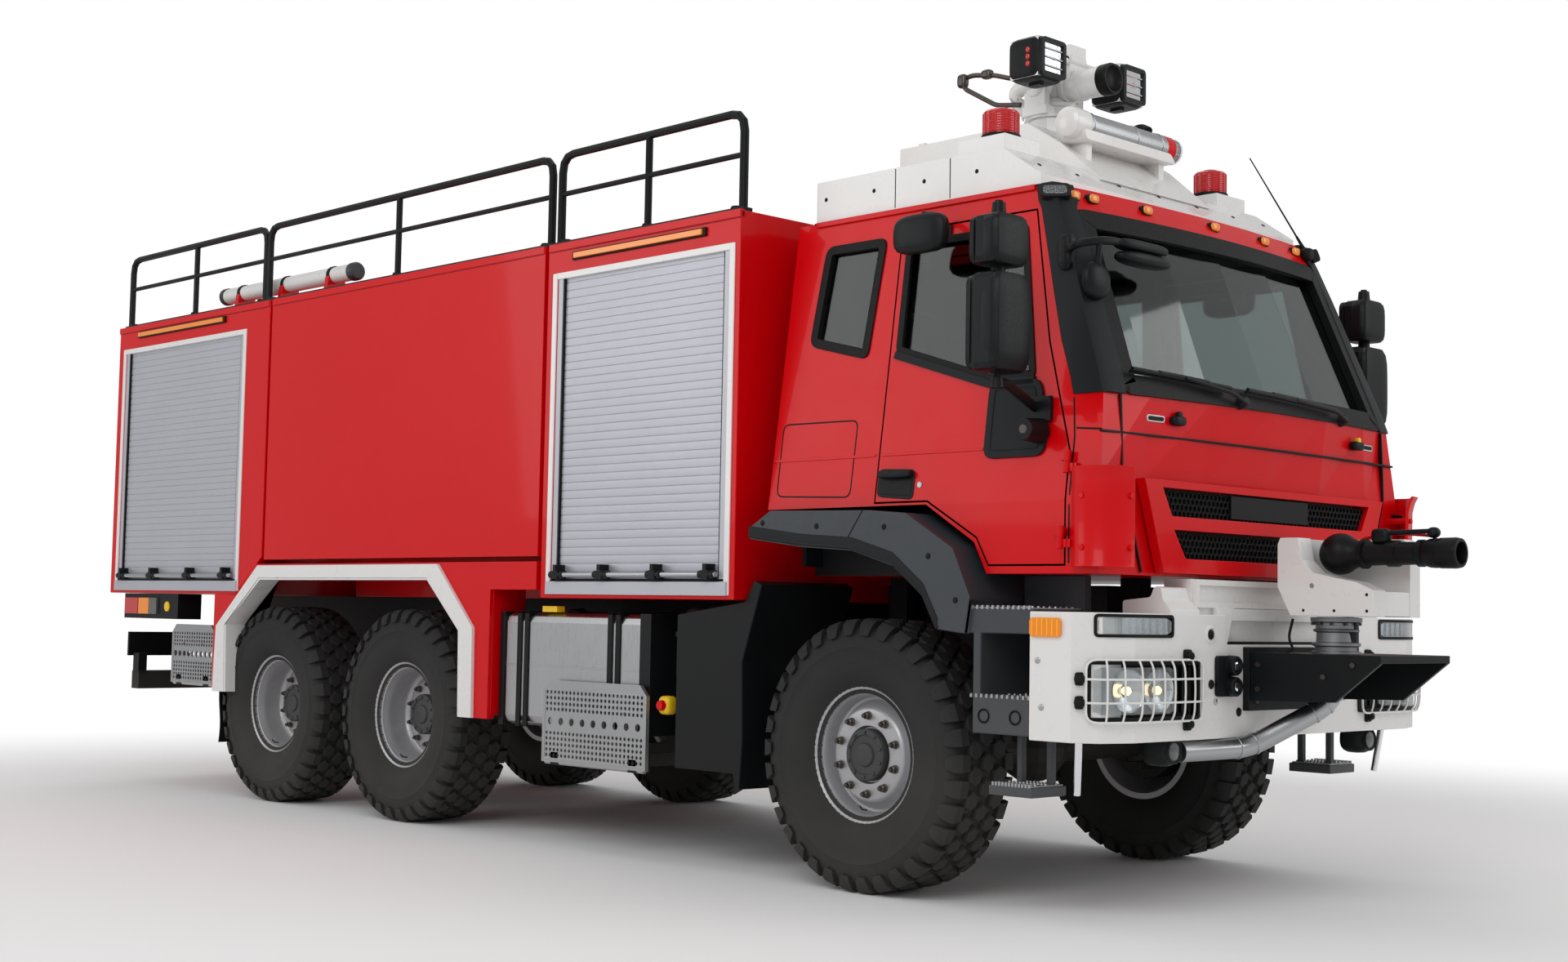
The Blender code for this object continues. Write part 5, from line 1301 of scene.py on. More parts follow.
def foam_bottle(shape):
    """The silver cylinder across the fairing: its red band, cap, white saddle and straps."""
    parts = [(STAINLESS, ((-0.36, 0.0), (-0.36, 0.0615), (0.3, 0.0615), (0.3, 0.0)))]
    parts.append((RED, ((0.285, 0.0), (0.285, 0.0635), (0.345, 0.0635), (0.345, 0.0))))
    neck = ((0.345, 0.0), (0.345, 0.06), (0.385, 0.06), (0.4, 0.05), (0.404, 0.03), (0.404, 0.0))
    parts.append((CAST, neck))
    cap = ((-0.42, 0.0), (-0.418, 0.045), (-0.405, 0.066), (-0.37, 0.07), (-0.3, 0.068), (-0.3, 0.0))
    parts.append((WHITE, cap))
    for y in (-0.28, 0.05, 0.24):
        parts.append((STAINLESS, ((y, 0.0), (y, 0.065), (y + 0.018, 0.065), (y + 0.018, 0.0))))
    for look, profile in parts:
        shape.turned(BOTTLE, (0, 1, 0), profile, look, 40)
    saddle = rounded(((-0.4, 3.3), (0.28, 3.3), (0.24, 3.345), (-0.42, 3.345)), 0.02)
    shape.plate("x", saddle, 0.46, 0.6, WHITE)
    hose = bent(((0.5, 0.2, 3.46), (0.42, 0.24, 3.5), (0.34, 0.2, 3.44), (0.36, 0.16, 3.36)), 0.05)
    shape.tube(hose, 0.022, SEAL, 14)


def fairing_screws(shape):
    """The fairing's screws and seams, and the plates on top of it."""
    spots = [((0.7, y, 3.088), (0.57, 0, 0.82)) for y in (-0.86, -0.6, -0.3, 0.0, 0.3, 0.6, 0.86)]
    spots += [((x, side * 0.968, 3.08), (0, side, 0)) for side in (-1, 1) for x in (-0.45, -0.15, 0.15, 0.45)]
    spots += [((x, y, 3.164), (0, 0, 1)) for x in (-0.4, -0.05, 0.25) for y in (-0.9, -0.55, 0.55, 0.9)]
    for spot, out in spots:
        screw = ((-0.004, 0), (-0.004, 0.011), (0.003, 0.01), (0.005, 0.006), (0.005, 0))
        shape.turned(spot, out, screw, SEAL, 10)
    for side in (-1, 1):
        for x in (-0.02, 0.3):
            shape.block(side, (x - 0.0025, x + 0.0025), (0.9695, 0.9712), (2.985, 3.16), SEAL)
        shape.block(side, (-0.5, 0.3), (0.42, 0.47), (3.16, 3.185), WHITE)
    shape.box((-0.49, -0.3, 3.416), (0.1, 0.3, 3.432), WHITE)
    shape.box((-0.4, -0.4, 3.3), (-0.36, 0.4, 3.434), WHITE)


def monitor_yoke(shape):
    """The roof monitor's swivel: its flanged foot, two elbows up to the trunnions, and its linkage."""
    shape.turned((0.1, 0, 3.53), (0, 0, 1), MONITOR_FOOT, WHITE, 40)
    for side in (-1, 1):
        elbow = bent(((0.1, side * 0.06, 3.57), (-0.01, side * 0.115, 3.58), (-0.03, side * 0.142, 3.68),
                      (0.1, side * 0.136, 3.69)), 0.06, 6)
        shape.tube(elbow, 0.036, WHITE, 20)
        shape.turned((0.1, side * 0.1, 3.68), (0, side, 0), MONITOR_BOSS, WHITE, 32)
        for spot in around((0.1, side * 0.134, 3.68), 0.062, 6, "y"):
            shape.stud(spot, (0, side, 0), 0.008, 0.01, STEEL, 6, 0.007)
    shape.pod((0.02, 0.0, 3.57), (0.075, 0.085, 0.032), WHITE)
    linkage = bent(((0.02, -0.15, 3.6), (-0.12, -0.16, 3.62), (-0.33, -0.15, 3.74), (-0.36, -0.14, 3.79),
                    (-0.3, -0.13, 3.805), (-0.16, -0.13, 3.78), (-0.03, -0.14, 3.735)), 0.03)
    shape.tube(linkage, 0.012, STEEL, 12)
    shape.pod((-0.345, -0.145, 3.78), (0.026, 0.022, 0.034), STEEL)
    shape.pod((-0.2, -0.135, 3.79), (0.03, 0.022, 0.022), STEEL)


def monitor_gun(shape):
    """What tilts: the barrel's rings and dark mouth, the elbow on top and the two work lamps on their bar."""
    ball = [(-0.092 * math.cos(t), 0.092 * math.sin(t)) for t in (math.radians(10 * k) for k in range(13))]
    shape.turned(MONITOR, (1, 0, 0), ball + list(MONITOR_TUBE), WHITE, 40)
    shape.turned(MONITOR, (1, 0, 0), MONITOR_MOUTH, GRILLE, 40)
    crown = bent(((0.065, 0.0, 3.765), (0.085, 0.0, 3.82), (0.16, 0.0, 3.828), (0.22, 0.0, 3.775)), 0.05, 8)
    shape.tube(crown, 0.042, WHITE, 20)
    shape.stud((0.215, -0.055, 3.8), (0, 1, 0), 0.034, 0.11, WHITE, 24)
    shape.stud((0.215, -0.06, 3.8), (0, -1, 0), 0.02, 0.008, GRILLE, 18, 0.018)
    for side in (-1, 1):
        lamp = Vector((0.24, side * 0.31, 3.73))
        shape.pod(lamp, (0.094, 0.1, 0.1), POWDER, square=7.0, steps=6, sides=32)
        face = [(lamp.y + y, lamp.z + z) for y, z in oblong(-0.088, 0.088, -0.088, 0.088, 0.024)]
        frame_bars(shape, face, 0.02, lamp.x + 0.07, lamp.x + 0.104, POWDER, "x")
        shape.plate("x", shrunk(face, 0.018), lamp.x + 0.08, lamp.x + 0.094, REFLECTOR)
        for z in (-0.04, 0.0, 0.04):
            ends = (lamp + Vector((0.096, y, z)) for y in (-0.066, 0.066))
            shape.rod(*ends, 0.005, REFLECTOR, sides=8)
        for z in (-0.032, 0.0, 0.032):
            shape.pod(lamp + Vector((0.03, side * 0.1, z)), (0.012, 0.008, 0.013), RED_LENS, square=2.4)
        shape.box((lamp.x - 0.03, lamp.y - 0.016, 3.62), (lamp.x + 0.03, lamp.y + 0.016, 3.64), POWDER)


def roof_mast(shape):
    """The hose tube along the right of the roof, on its red brackets, and the feet of the rails."""
    ends = ((-5.72, -1.1, 3.15), (-4.22, -1.1, 3.15))
    shape.tube(ends, 0.05, WHITE, 24)
    cap = ((-0.02, 0.0), (-0.02, 0.055), (0.02, 0.055), (0.035, 0.045), (0.04, 0.0))
    for end, way in zip(ends, (-1, 1)):
        shape.turned(end, (way, 0, 0), cap, "moulded grey plastic", 24)
    bracket = rounded(((-1.17, 3.03), (-1.03, 3.03), (-1.045, 3.15), (-1.155, 3.15)), 0.02)
    for x in (-5.5, -4.97, -4.44):
        shape.plate("x", bracket, x - 0.02, x + 0.02, RED)
        shape.stud((x - 0.015, -1.1, 3.15), (1, 0, 0), 0.056, 0.03, SEAL, 24)
    for side in (-1, 1):
        for x0, x1 in RAIL_SPANS:
            for x in (x0 + 0.045, (x0 + x1) / 2, x1 - 0.045):
                shape.block(side, (x - 0.055, x + 0.055), (1.16, 1.235), (3.032, 3.042), POWDER)
                shape.stud((x, side * 1.2, 3.04), (0, 0, 1), 0.034, 0.022, POWDER, 16, 0.026)


class TRUCK_OT_roof(bpy.types.Operator):
    """Makes the beacons, the bottle, the fairing's screws, the roof monitor and the tube on the roof"""

    bl_idname = "truck.roof"
    bl_label = "Roof"

    def execute(self, context):
        for word, spot in zip(SIDES, BEACON_SPOTS):
            put(beacon, f"beacon_{word}", "truck", "red_paint", 0, args=spot)
        for make, body, slot, chamfer in (
            (foam_bottle, "truck", "aluminium", 0.002), (fairing_screws, "truck", "white_paint", 0.003),
            (monitor_yoke, "monitor_head", "white_paint", 0.001),
            (monitor_gun, "monitor_barrel", "white_paint", 0.001), (roof_mast, "truck", "white_paint", 0.003),
        ):
            put(make, make.__name__, body, slot, chamfer)
        return {"FINISHED"}


# ---------------------------------------------------------------- low fittings

FUEL_TANK = (-2.55, -1.36, 0.59, 1.165)  # along, then up
STEPS = {"front": (-2.13, -1.33, 0.425, 0.83), "rear": (-6.04, -5.49, 0.675, 1.045)}
FILTER = ((0, 0), (0, 0.052), (0.02, 0.056), (0.2, 0.056), (0.205, 0.064), (0.225, 0.064), (0.24, 0.03),
          (0.24, 0))
FENDER_EDGE = ((-0.626, 1.53), (-0.3, 1.49), (0.013, 1.47), (0.25, 1.405), (0.424, 1.275), (0.505, 1.135))


def perforated(shape, side, x, z, count, hole):
    """A field of a folding step's plate, cut by a grid of round holes."""
    near, far = side * 1.22, side * 1.232
    dx, dz = (x[1] - x[0]) / count[0], (z[1] - z[0]) / count[1]
    for column in range(count[0]):
        for row in range(count[1]):
            u, w = x[0] + (column + 0.5) * dx, z[0] + (row + 0.5) * dz
            outer, inner = [], []
            for k in range(8):
                c, s = math.cos(math.pi * k / 4), math.sin(math.pi * k / 4)
                reach = 1 / max(abs(c), abs(s))
                outer.append((u + dx / 2 * reach * c, w + dz / 2 * reach * s))
                inner.append((u + hole * c, w + hole * s))
            rows = ((inner, near), (outer, near), (outer, far), (inner, far))
            faces = shape.rings([[(a, y, b) for a, b in line] for line, y in rows], TREAD, closed=True)
            bmesh.ops.delete(shape.bm, geom=faces[8:16], context="FACES_ONLY")


def step_shape(shape, side, x0, x1, z0, z1):
    """A folding step: perforated fields above and below a bar with bigger holes, its rim, stays and hinge."""
    bar, inside = (z0 + z1) / 2, (x0 + 0.02, x1 - 0.02)
    fields = max(8, round((x1 - x0 - 0.04) / 0.031))
    perforated(shape, side, inside, (z0 + 0.02, bar - 0.045), (fields, 5), 0.0095)
    perforated(shape, side, inside, (bar + 0.045, z1 - 0.045), (fields, 4), 0.0095)
    perforated(shape, side, inside, (bar - 0.045, bar + 0.045), (9, 1), 0.02)
    top = ((x0, z0), (x1, z0), (x1, z1 - 0.05), (x1 - 0.05, z1), (x0 + 0.05, z1), (x0, z1 - 0.05))
    inner = ((x0 + 0.02, z0 + 0.02), (x1 - 0.02, z0 + 0.02), (x1 - 0.02, z1 - 0.045),
             (x1 - 0.045, z1 - 0.045), (x0 + 0.045, z1 - 0.045), (x0 + 0.02, z1 - 0.045))
    rows = ((top, 1.214), (inner, 1.214), (inner, 1.234), (top, 1.234))
    shape.rings([[(x, side * y, z) for x, z in line] for line, y in rows], TREAD, closed=True)
    shape.rod((x0 + 0.02, side * 1.218, z0), (x1 - 0.02, side * 1.218, z0), 0.013, STAINLESS)
    for x in (x0 + 0.1, x1 - 0.1):
        shape.block(side, (x - 0.03, x + 0.03), (1.205, 1.232), (z0 - 0.012, z0 + 0.05), POWDER)
    for x in (x0 + 0.16, x1 - 0.16):
        shape.stud((x, side * 1.233, bar + 0.062), (0, side, 0), 0.008, 0.004, STEEL, 8, 0.006)


def tank_fittings(shape, side):
    """The tank's straps, end caps, seam, filler and label plate, and the filter with its hose behind it."""
    x0, x1, z0, z1 = FUEL_TANK
    for x in (x0 + 0.16, x0 + 0.22, x1 - 0.3, x1 - 0.24):
        shape.block(side, (x - 0.018, x + 0.018), (1.186, 1.1965), (z0 - 0.006, z1 + 0.006), SEAL)
        shape.block(side, (x - 0.018, x + 0.018), (0.6, 1.1965), (z1 - 0.004, z1 + 0.007), SEAL)
    shape.block(side, (x1 - 0.075, x1 + 0.004), (0.6, 1.194), (z0 - 0.004, z1 + 0.004), POWDER)
    shape.block(side, (x0 - 0.008, x0 + 0.03), (0.6, 1.193), (z0 - 0.004, z1 + 0.003), POWDER)
    for z in (z0 + 0.3, z0 + 0.31):
        shape.block(side, (x0 + 0.04, x1 - 0.08), (1.188, 1.1915), (z, z + 0.004), STAINLESS)
    filler = ((0, 0), (0, 0.06), (0.018, 0.06), (0.024, 0.045), (0.03, 0.045), (0.03, 0))
    shape.turned((x0 + 0.4, side * 1.02, z1 - 0.004), (0, 0, 1), filler, POWDER, 28)
    shape.block(side, (x0 + 0.34, x0 + 0.46), (1.14, 1.19), (z1 + 0.004, z1 + 0.034), YELLOW)
    shape.turned((-1.245, side * 1.05, 0.86), (0, 0, 1), FILTER, HUB_BLACK, 28)
    hose = ((-1.245, side * 1.05, 1.08), (-1.245, side * 1.05, 1.17), (-1.15, side * 1.1, 1.19),
            (-1.0, side * 1.12, 1.17))
    shape.tube(bent(hose, 0.05), 0.022, SEAL, 14)
    shape.pod((-1.26, side * 1.16, 0.74), (0.04, 0.035, 0.045), YELLOW)
    shape.rod((-1.26, side * 1.19, 0.74), (-1.26, side * 1.215, 0.74), 0.026, RED, 0.022)


def entry_treads(shape, side):
    """Toothed treads on the entry steps and the cups in the apron between them."""
    for z, x0, x1, low, high in (
        (1.222, 0.66, 0.98, 0.9, 1.225), (0.868, 0.66, 0.98, 0.9, 1.225), (0.523, 0.77, 0.97, 1.01, 1.21),
    ):
        shape.block(side, (x0, x1), (low, high), (z - 0.004, z + 0.003), TREAD)
        for row in range(3):
            y = low + (high - low) * (row + 0.5) / 3
            for k in range(11):
                x = x0 + (x1 - x0) * (k + 0.5) / 11
                shape.stud((x, side * y, z), (0, 0, 1), 0.009, 0.009, TREAD, 8, 0.0055)
        for k in range(12):
            x = x0 + (x1 - x0) * (k + 0.5) / 12
            across, up = (high - 0.004, high + 0.007), (z - 0.006, z + 0.01)
            shape.block(side, (x - 0.006, x + 0.006), across, up, TREAD)
    cup = ((-0.01, 0), (-0.01, 0.03), (0.007, 0.03), (0.01, 0.026), (0.003, 0.021), (0.003, 0))
    for x in (0.74, 0.9):
        shape.turned((x, side * 1.226, 0.79), (0, side, 0), cup, GRILLE, 24)


def fender_trim(shape, side):
    """The fender's turned lip, its darker lower band, the split between its two parts and its bolts."""
    edge = finer(FENDER_EDGE, 0.05, closed=False)
    shape.tube([(x, side * 1.247, z) for x, z in edge], 0.01, TRIM, 10)
    band = ((1.246, -0.004), (1.2535, 0.0), (1.2535, 0.042), (1.246, 0.046))
    shape.rings([[(x, side * y, z + lift) for y, lift in band] for x, z in edge], TRIM)
    split = ((-0.004, 1.248), (0.004, 1.248), (0.004, 1.2515), (-0.004, 1.2515))
    ends = ((-0.035, 1.478), (0.075, 1.628))
    shape.rings([[(x + dx, side * y, z) for dx, y in split] for x, z in ends], SEAL)
    bolt = ((0, 0), (0, 0.014), (0.005, 0.012), (0.007, 0.006), (0.007, 0))
    for x, z in ((-0.54, 1.585), (-0.2, 1.565), (0.2, 1.555), (0.45, 1.43), (0.6, 1.25)):
        shape.turned((x, side * 1.248, z), (0, side, 0), bolt, SEAL, 12)


def rear_lamps(shape, side):
    """Tail lamps in their dark box, the round ones on the tail, and the mud flap."""
    shape.block(side, (-6.74, -6.0), (1.06, 1.225), (1.075, 1.238), POWDER)
    for x0, x1, look in ((-6.715, -6.53, RED_LENS), (-6.52, -6.38, AMBER), (-6.37, -6.27, CLEAR)):
        shape.block(side, (x0, x1), (1.215, 1.238), (1.105, 1.21), look)
    button = ((0, 0), (0, 0.034), (0.012, 0.032), (0.018, 0.016), (0.018, 0))
    shape.turned((-6.14, side * 1.22, 1.155), (0, side, 0), button, YELLOW, 24)
    dome = ((0, 0), (0, 0.056), (0.03, 0.056), (0.042, 0.03), (0.042, 0))
    for y, look in ((0.8, RED_LENS), (0.93, AMBER), (1.06, CLEAR)):
        shape.turned((-6.845, side * y, 0.9), (-1, 0, 0), dome, look, 28)
    shape.block(side, (-6.85, -6.83), (0.72, 1.14), (0.82, 0.98), POWDER)
    for across in ((0.74, 0.8), (1.06, 1.12)):
        shape.block(side, (-6.8, -6.72), across, (0.72, 0.84), POWDER)
    flap = ((-5.478, 0.78), (-5.468, 0.78), (-5.468, 1.19), (-5.478, 1.19))
    rows = []
    for k in range(9):
        bow = 0.012 * math.sin(k * 0.7)
        rows.append([(x + bow, side * y, 0.32 + 0.045 * k) for x, y in flap])
    shape.rings(rows, SEAL)
    shape.block(side, (-5.5, -5.455), (0.76, 1.2), (0.66, 0.7), POWDER)


class TRUCK_OT_low(bpy.types.Operator):
    """Makes the folding steps, the tank's straps, treads, fender lips, tail lamps and mud flaps"""

    bl_idname = "truck.low"
    bl_label = "Low fittings"

    def execute(self, context):
        for word, side in SIDES.items():
            for end, size in STEPS.items():
                node = f"step_{end}_{word}"
                put(step_shape, f"perforated_{node}", node, "aluminium", 0, replaces=[node], args=(side, *size))
            for make, slot in ((tank_fittings, "dark_steel"), (entry_treads, "aluminium"),
                               (fender_trim, "grey_plastic"), (rear_lamps, "black_paint")):
                put(make, f"{make.__name__}_{word}", "truck", slot, 0.0015, args=(side,))
        return {"FINISHED"}


# ---------------------------------------------------------------- inside the cab

SEAT_PARTS = (  # low corner, high corner for the left seat, which way it faces, and how far it may swell
    ("cushion", (-0.28, 0.29, 1.715), (0.27, 0.76, 1.845), (0, 0, 1), 0.024),
    ("back", (-0.352, 0.29, 1.8), (-0.232, 0.76, 2.385), (1, 0, 0), 0.024),
    ("headrest", (-0.362, 0.39, 2.4), (-0.262, 0.66, 2.6), (1, 0, 0), 0.022),
)
INSET = 0.01  # how much smaller than its box a pad starts
VOXEL = 0.009
PRESSURE = 4.0
SIM_FRAMES = 20
CHANNELS = (-0.13, 0.13)  # where the sewn channels run, across from the pad's middle


def pad_block(shape, low, high):
    """A block with soft corners, a little smaller than its box."""
    low, high = Vector(low) + Vector((INSET,) * 3), Vector(high) - Vector((INSET,) * 3)
    shape.pod((low + high) / 2, (high - low) / 2, "woven seat cloth", square=9.0, steps=8, sides=48)


def apply_modifiers(piece):
    graph = bpy.context.evaluated_depsgraph_get()
    piece.data = bpy.data.meshes.new_from_object(piece.evaluated_get(graph))
    piece.modifiers.clear()


def swelled(piece, out, cap):
    """Blows the pad up with cloth under pressure, keeps each point within the cap, and makes it finer."""
    remesh = piece.modifiers.new("voxels", "REMESH")
    remesh.mode = "VOXEL"
    remesh.voxel_size = VOXEL
    apply_modifiers(piece)
    rest = [v.co.copy() for v in piece.data.vertices]
    low = min(p.dot(out) for p in rest)
    back = piece.vertex_groups.new(name="back")
    back.add([k for k, p in enumerate(rest) if p.dot(out) < low + 0.02], 1.0, "REPLACE")
    cloth = piece.modifiers.new("swell", "CLOTH")
    cloth.settings.use_pressure = True
    cloth.settings.uniform_pressure_force = PRESSURE
    cloth.settings.vertex_group_mass = "back"
    cloth.settings.effector_weights.gravity = 0.0
    cloth.collision_settings.use_collision = False
    for number in range(1, SIM_FRAMES + 1):
        bpy.context.scene.frame_set(number)
    apply_modifiers(piece)
    piece.vertex_groups.clear()
    bpy.context.scene.frame_set(1)
    for vertex, start in zip(piece.data.vertices, rest):
        moved = vertex.co - start
        if moved.length > cap:
            vertex.co = start + moved * (cap / moved.length)
    subdivision = piece.modifiers.new("finer", "SUBSURF")
    subdivision.levels = subdivision.render_levels = 1
    apply_modifiers(piece)


def sew_channels(piece, out, middle_y):
    """Presses in the two seams that run the pad's length."""
    high = max(v.co.dot(out) for v in piece.data.vertices)
    for vertex in piece.data.vertices:
        depth = max(0.0, 1 - (high - vertex.co.dot(out)) / 0.05)
        for place in CHANNELS:
            gap = (vertex.co.y - middle_y - place) / 0.007
            vertex.co -= out * 0.009 * depth * math.exp(-gap * gap)
    piece.data.update()


def make_seats():
    for name, low, high, facing, cap in SEAT_PARTS:
        out = Vector(facing)
        pad = put(pad_block, f"seat_{name}_left", "truck", "seat_cloth", 0, 60, args=(low, high))
        swelled(pad, out, cap)
        if name != "headrest":
            sew_channels(pad, out, (low[1] + high[1]) / 2)
        pad.data.shade_smooth()
        other = bpy.data.objects.new(f"seat_{name}_right", pad.data.copy())
        other.data.transform(Matrix.Diagonal((1, -1, 1, 1)))
        other.data.flip_normals()
        bpy.context.scene.collection.objects.link(other)
        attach(other, "truck")
        if name == "cushion":
            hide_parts("seat_left")
            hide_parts("seat_right")


def seat_frame(shape, side):
    """The pedestal, the shell behind the back, the headrest's posts and a belt over each seat."""
    pedestal = rounded(((-0.24, 1.42), (0.22, 1.42), (0.24, 1.7), (-0.27, 1.7)), 0.03)
    for outline, near, far in (
        (pedestal, 0.34, 0.71), (oblong(-0.3, 0.25, 1.69, 1.722, 0.01), 0.3, 0.75),
        (oblong(-0.378, -0.345, 1.74, 2.36, 0.012), 0.31, 0.74),
    ):
        shape.plate("y", outline, side * near, side * far, TRIM)
    for y in (0.46, 0.59):
        shape.rod((-0.315, side * y, 2.34), (-0.315, side * y, 2.44), 0.007, STEEL)
    belt = ((-0.2, 0.36, 2.41), (-0.188, 0.45, 2.2), (-0.18, 0.6, 1.95), (-0.16, 0.74, 1.86))
    section = ((0, -0.024), (0.003, -0.024), (0.003, 0.024), (0, 0.024))
    shape.rings([[(x + dx, side * y + dy, z) for dx, dy in section] for x, y, z in belt], SEAL)


def cab_inside(shape):
    """Dashboard fittings, the roof lining, the rear wall's panel, the floor and the steering column."""
    column = bent(((0.86, 0.53, 1.86), (0.74, 0.53, 1.95), (0.63, 0.53, 2.015)), 0.03)
    shape.tube(column, 0.03, TRIM, 16)
    shape.pod((0.635, 0.53, 2.01), (0.06, 0.065, 0.035), TRIM)
    shape.pod((0.9, 0.53, 2.045), (0.1, 0.19, 0.045), TRIM)
    dial = ((0, 0), (0, 0.055), (0.01, 0.055), (0.012, 0.048), (0.004, 0.046), (0.004, 0))
    for y in (0.45, 0.61):
        shape.turned((0.815, y, 2.03), (-0.85, 0, 0.52), dial, GRILLE, 28)
        shape.rod((0.812, y, 2.032), (0.812, y + 0.02, 2.062), 0.002, WIRE, sides=6)
    across = (0, 1, 0)
    screen = oblong(-0.16, 0.16, -0.07, 0.07)
    shape.slab((0.84, -0.05, 2.1), across, (0.35, 0, 1), screen, (-0.02, 0.02), TRIM)
    shape.rod((0.9, -0.05, 1.99), (0.85, -0.05, 2.07), 0.016, POWDER)
    vent = oblong(-0.07, 0.07, -0.028, 0.028, 0.01)
    for y in (-0.75, -0.45, 0.1, 0.9):
        shape.slab((0.81, y, 1.955), across, (0.25, 0, 1), vent, (-0.012, 0.012), GRILLE)
    for low, high in (
        ((-0.585, -0.93, 2.925), (0.74, 0.93, 2.945)), ((-0.585, -0.95, 1.4), (-0.56, 0.95, 2.93)),
        ((-0.585, -0.8, 1.385), (1.1, 0.8, 1.405)),
    ):
        shape.box(low, high, TRIM)
    visor = oblong(-0.07, 0.07, -0.2, 0.2)
    for side in (-1, 1):
        shape.slab((0.7, side * 0.42, 2.865), (1, 0, -0.1), across, visor, (-0.008, 0.008), TRIM)


class TRUCK_OT_inside(bpy.types.Operator):
    """Makes the seats' pads and frames and the cab's inner fittings"""

    bl_idname = "truck.inside"
    bl_label = "Inside"

    def execute(self, context):
        make_seats()
        for word, side in SIDES.items():
            put(seat_frame, f"seat_frame_{word}", "truck", "grey_plastic", 0.002, args=(side,))
        put(cab_inside, "cab_inside", "truck", "grey_plastic", 0.002)
        return {"FINISHED"}


# ---------------------------------------------------------------- studio

CAMERA_PLACE = (5.8895, -7.3796, 1.1857)
LENS = 45.63
LAMPS = (  # place, size, watts
    ((6.0, -9.0, 7.5), 6.0, 330),
    ((9.0, 4.0, 5.0), 5.0, 150),
    ((-6.0, -9.0, 5.0), 6.0, 170),
    ((-3.0, 0.0, 11.0), 8.0, 150),
    ((-9.0, 8.0, 6.0), 7.0, 200),
)


def whitened(tree, share, shade, to):
    """Mixes plain white over a shade by the share of it."""
    white = add(tree, "Emission", {"Color": (1, 1, 1, 1), "Strength": 1.0}).outputs[0]
    both = add(tree, "MixShader", {0: share, 1: shade, 2: white}).outputs[0]
    tree.links.new(both, to)


def make_world():
    world = bpy.data.worlds.new("studio")
    world.use_nodes = True
    bpy.context.scene.world = world
    tree = world.node_tree
    tree.nodes["Background"].inputs["Color"].default_value = (1, 1, 1, 1)
    tree.nodes["Background"].inputs["Strength"].default_value = 0.5
    path = add(tree, "LightPath").outputs
    rays = {0: path["Is Camera Ray"], 1: path["Is Transmission Ray"]}  # straight, or through glass
    seen = add(tree, "Math", rays, operation="MAXIMUM").outputs[0]
    whitened(tree, seen, tree.nodes["Background"].outputs[0], tree.nodes["World Output"].inputs["Surface"])


def make_floor():
    mesh = bpy.data.meshes.new("floor")
    mesh.from_pydata([(x, y, 0) for x, y in ((-60, -60), (60, -60), (60, 60), (-60, 60))], [], [(0, 1, 2, 3)])
    floor = bpy.data.objects.new("floor", mesh)
    bpy.context.scene.collection.objects.link(floor)
    material = bpy.data.materials.new("pale studio floor")
    material.use_nodes = True
    tree = material.node_tree
    shader = tree.nodes["Principled BSDF"]
    shader.inputs["Base Color"].default_value = (0.9, 0.9, 0.9, 1)
    shader.inputs["Roughness"].default_value = 0.9
    place = add(tree, "TexCoord").outputs["Object"]
    away = add(tree, "VectorMath", {0: place}, operation="LENGTH").outputs["Value"]
    far = add(tree, "MapRange", {0: away, 1: 4.8, 2: 9.5}, interpolation_type="SMOOTHSTEP").outputs[0]
    seen = add(tree, "LightPath").outputs["Is Camera Ray"]
    fade = add(tree, "Math", {0: far, 1: seen}, operation="MULTIPLY").outputs[0]
    whitened(tree, fade, shader.outputs[0], tree.nodes["Material Output"].inputs["Surface"])
    mesh.materials.append(material)


def make_lamps():
    for number, (place, size, watts) in enumerate(LAMPS):
        data = bpy.data.lights.new(f"softbox_{number}", "AREA")
        data.size = size
        data.energy = watts
        lamp = bpy.data.objects.new(data.name, data)
        lamp.location = place
        lamp.rotation_euler = (Vector((0, 0, 1.5)) - lamp.location).to_track_quat("-Z", "Y").to_euler()
        bpy.context.scene.collection.objects.link(lamp)


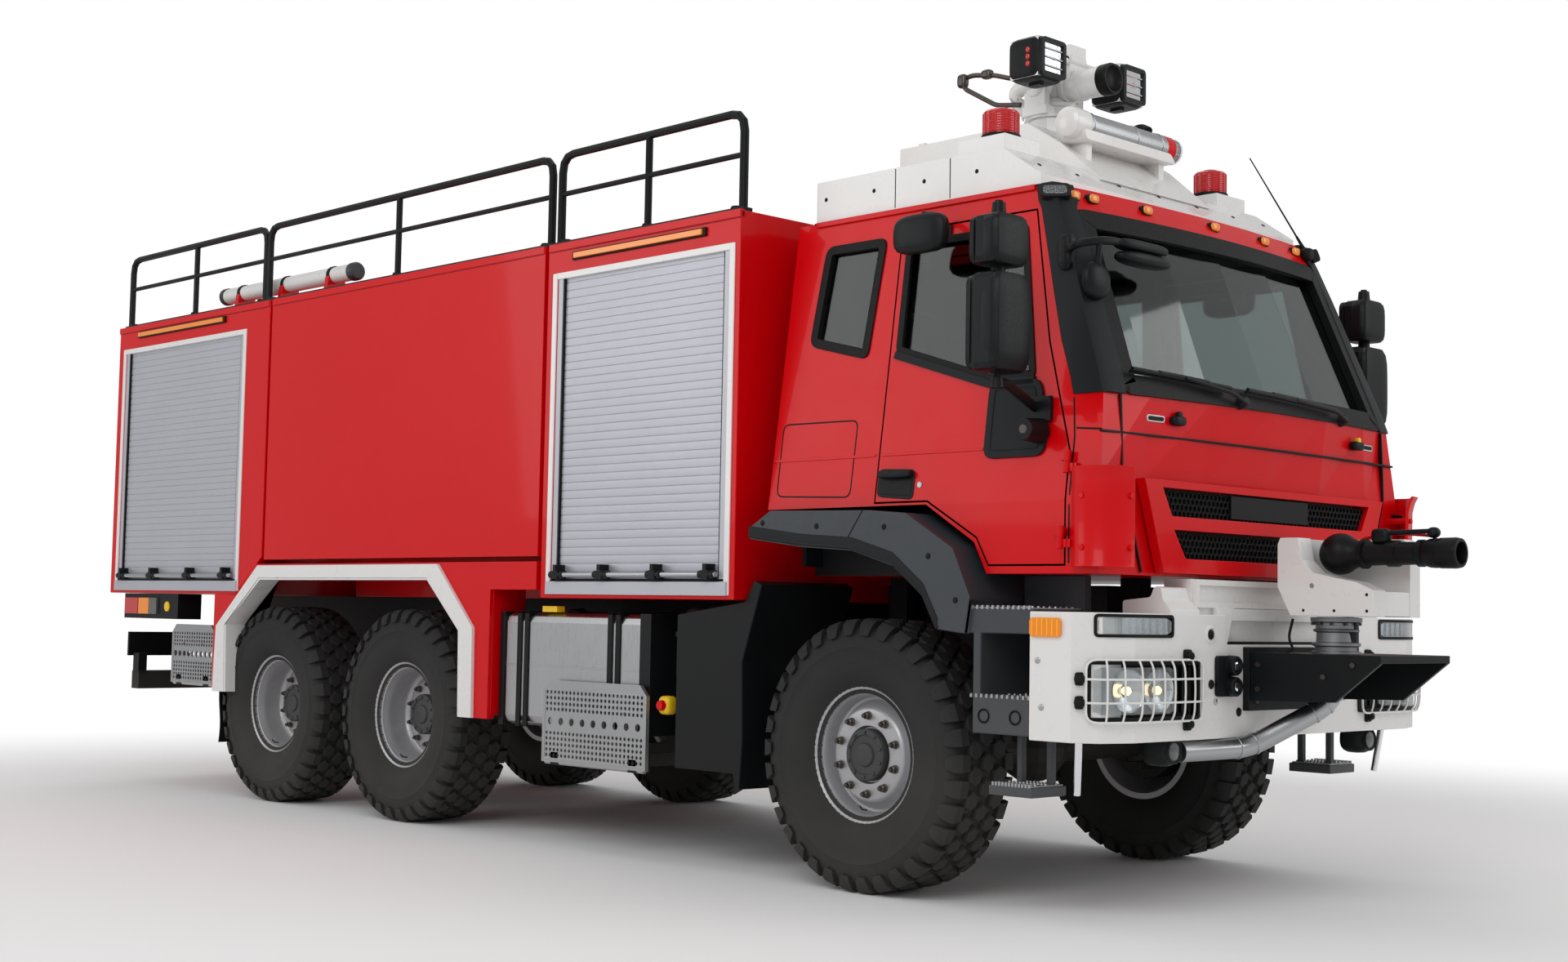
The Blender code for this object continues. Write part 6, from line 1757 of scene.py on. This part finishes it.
def make_camera(sizes):
    yaw, pitch, roll = sizes.camera_yaw, sizes.camera_pitch, sizes.camera_roll
    ahead = Vector((math.cos(yaw) * math.cos(pitch), math.sin(yaw) * math.cos(pitch), math.sin(pitch)))
    level = Vector((math.sin(yaw), -math.cos(yaw), 0))
    top = level.cross(ahead)
    right = level * math.cos(roll) + top * math.sin(roll)
    up = top * math.cos(roll) - level * math.sin(roll)
    camera = bpy.data.objects.new("camera", bpy.data.cameras.new("camera"))
    camera.data.lens = LENS
    camera.matrix_world = Matrix((right, up, -ahead)).transposed().to_4x4()
    camera.location = Vector(CAMERA_PLACE) + Vector((AXLE_X, 0, 0))
    bpy.context.scene.collection.objects.link(camera)
    bpy.context.scene.camera = camera


class TRUCK_OT_stage(bpy.types.Operator):
    """Sets up the floor, the lamps, the world and the camera"""

    bl_idname = "truck.stage"
    bl_label = "Studio"

    def execute(self, context):
        context.scene.view_settings.view_transform = "Standard"
        make_world()
        make_floor()
        make_lamps()
        make_camera(context.scene.truck_sizes)
        return {"FINISHED"}


# ---------------------------------------------------------------- panel and start

OPERATORS = (
    TRUCK_OT_finishes, TRUCK_OT_wheels, TRUCK_OT_shutters, TRUCK_OT_body, TRUCK_OT_cab, TRUCK_OT_front,
    TRUCK_OT_roof, TRUCK_OT_low, TRUCK_OT_inside, TRUCK_OT_stage,
)


class TRUCK_PT_looks(bpy.types.Panel):
    """Lists what the add-on makes and the sizes and colours that it uses"""

    bl_idname = "TRUCK_PT_looks"
    bl_label = "Fire truck"
    bl_space_type = "VIEW_3D"
    bl_region_type = "UI"
    bl_category = "Fire truck"

    def draw(self, context):
        for group in (context.scene.truck_colours, context.scene.truck_sizes):
            for name in type(group).__annotations__:
                self.layout.prop(group, name)
        for operator in OPERATORS:
            self.layout.operator(operator.bl_idname)


CLASSES = (TruckColours, TruckSizes, *OPERATORS, TRUCK_PT_looks)


def register():
    for cls in CLASSES:
        bpy.utils.register_class(cls)
    bpy.types.Scene.truck_colours = bpy.props.PointerProperty(type=TruckColours)
    bpy.types.Scene.truck_sizes = bpy.props.PointerProperty(type=TruckSizes)


def unregister():
    del bpy.types.Scene.truck_sizes
    del bpy.types.Scene.truck_colours
    for cls in reversed(CLASSES):
        bpy.utils.unregister_class(cls)


def main():
    register()
    for operator in OPERATORS:
        group, name = operator.bl_idname.split(".")
        getattr(getattr(bpy.ops, group), name)()


if __name__ == "__main__":
    main()
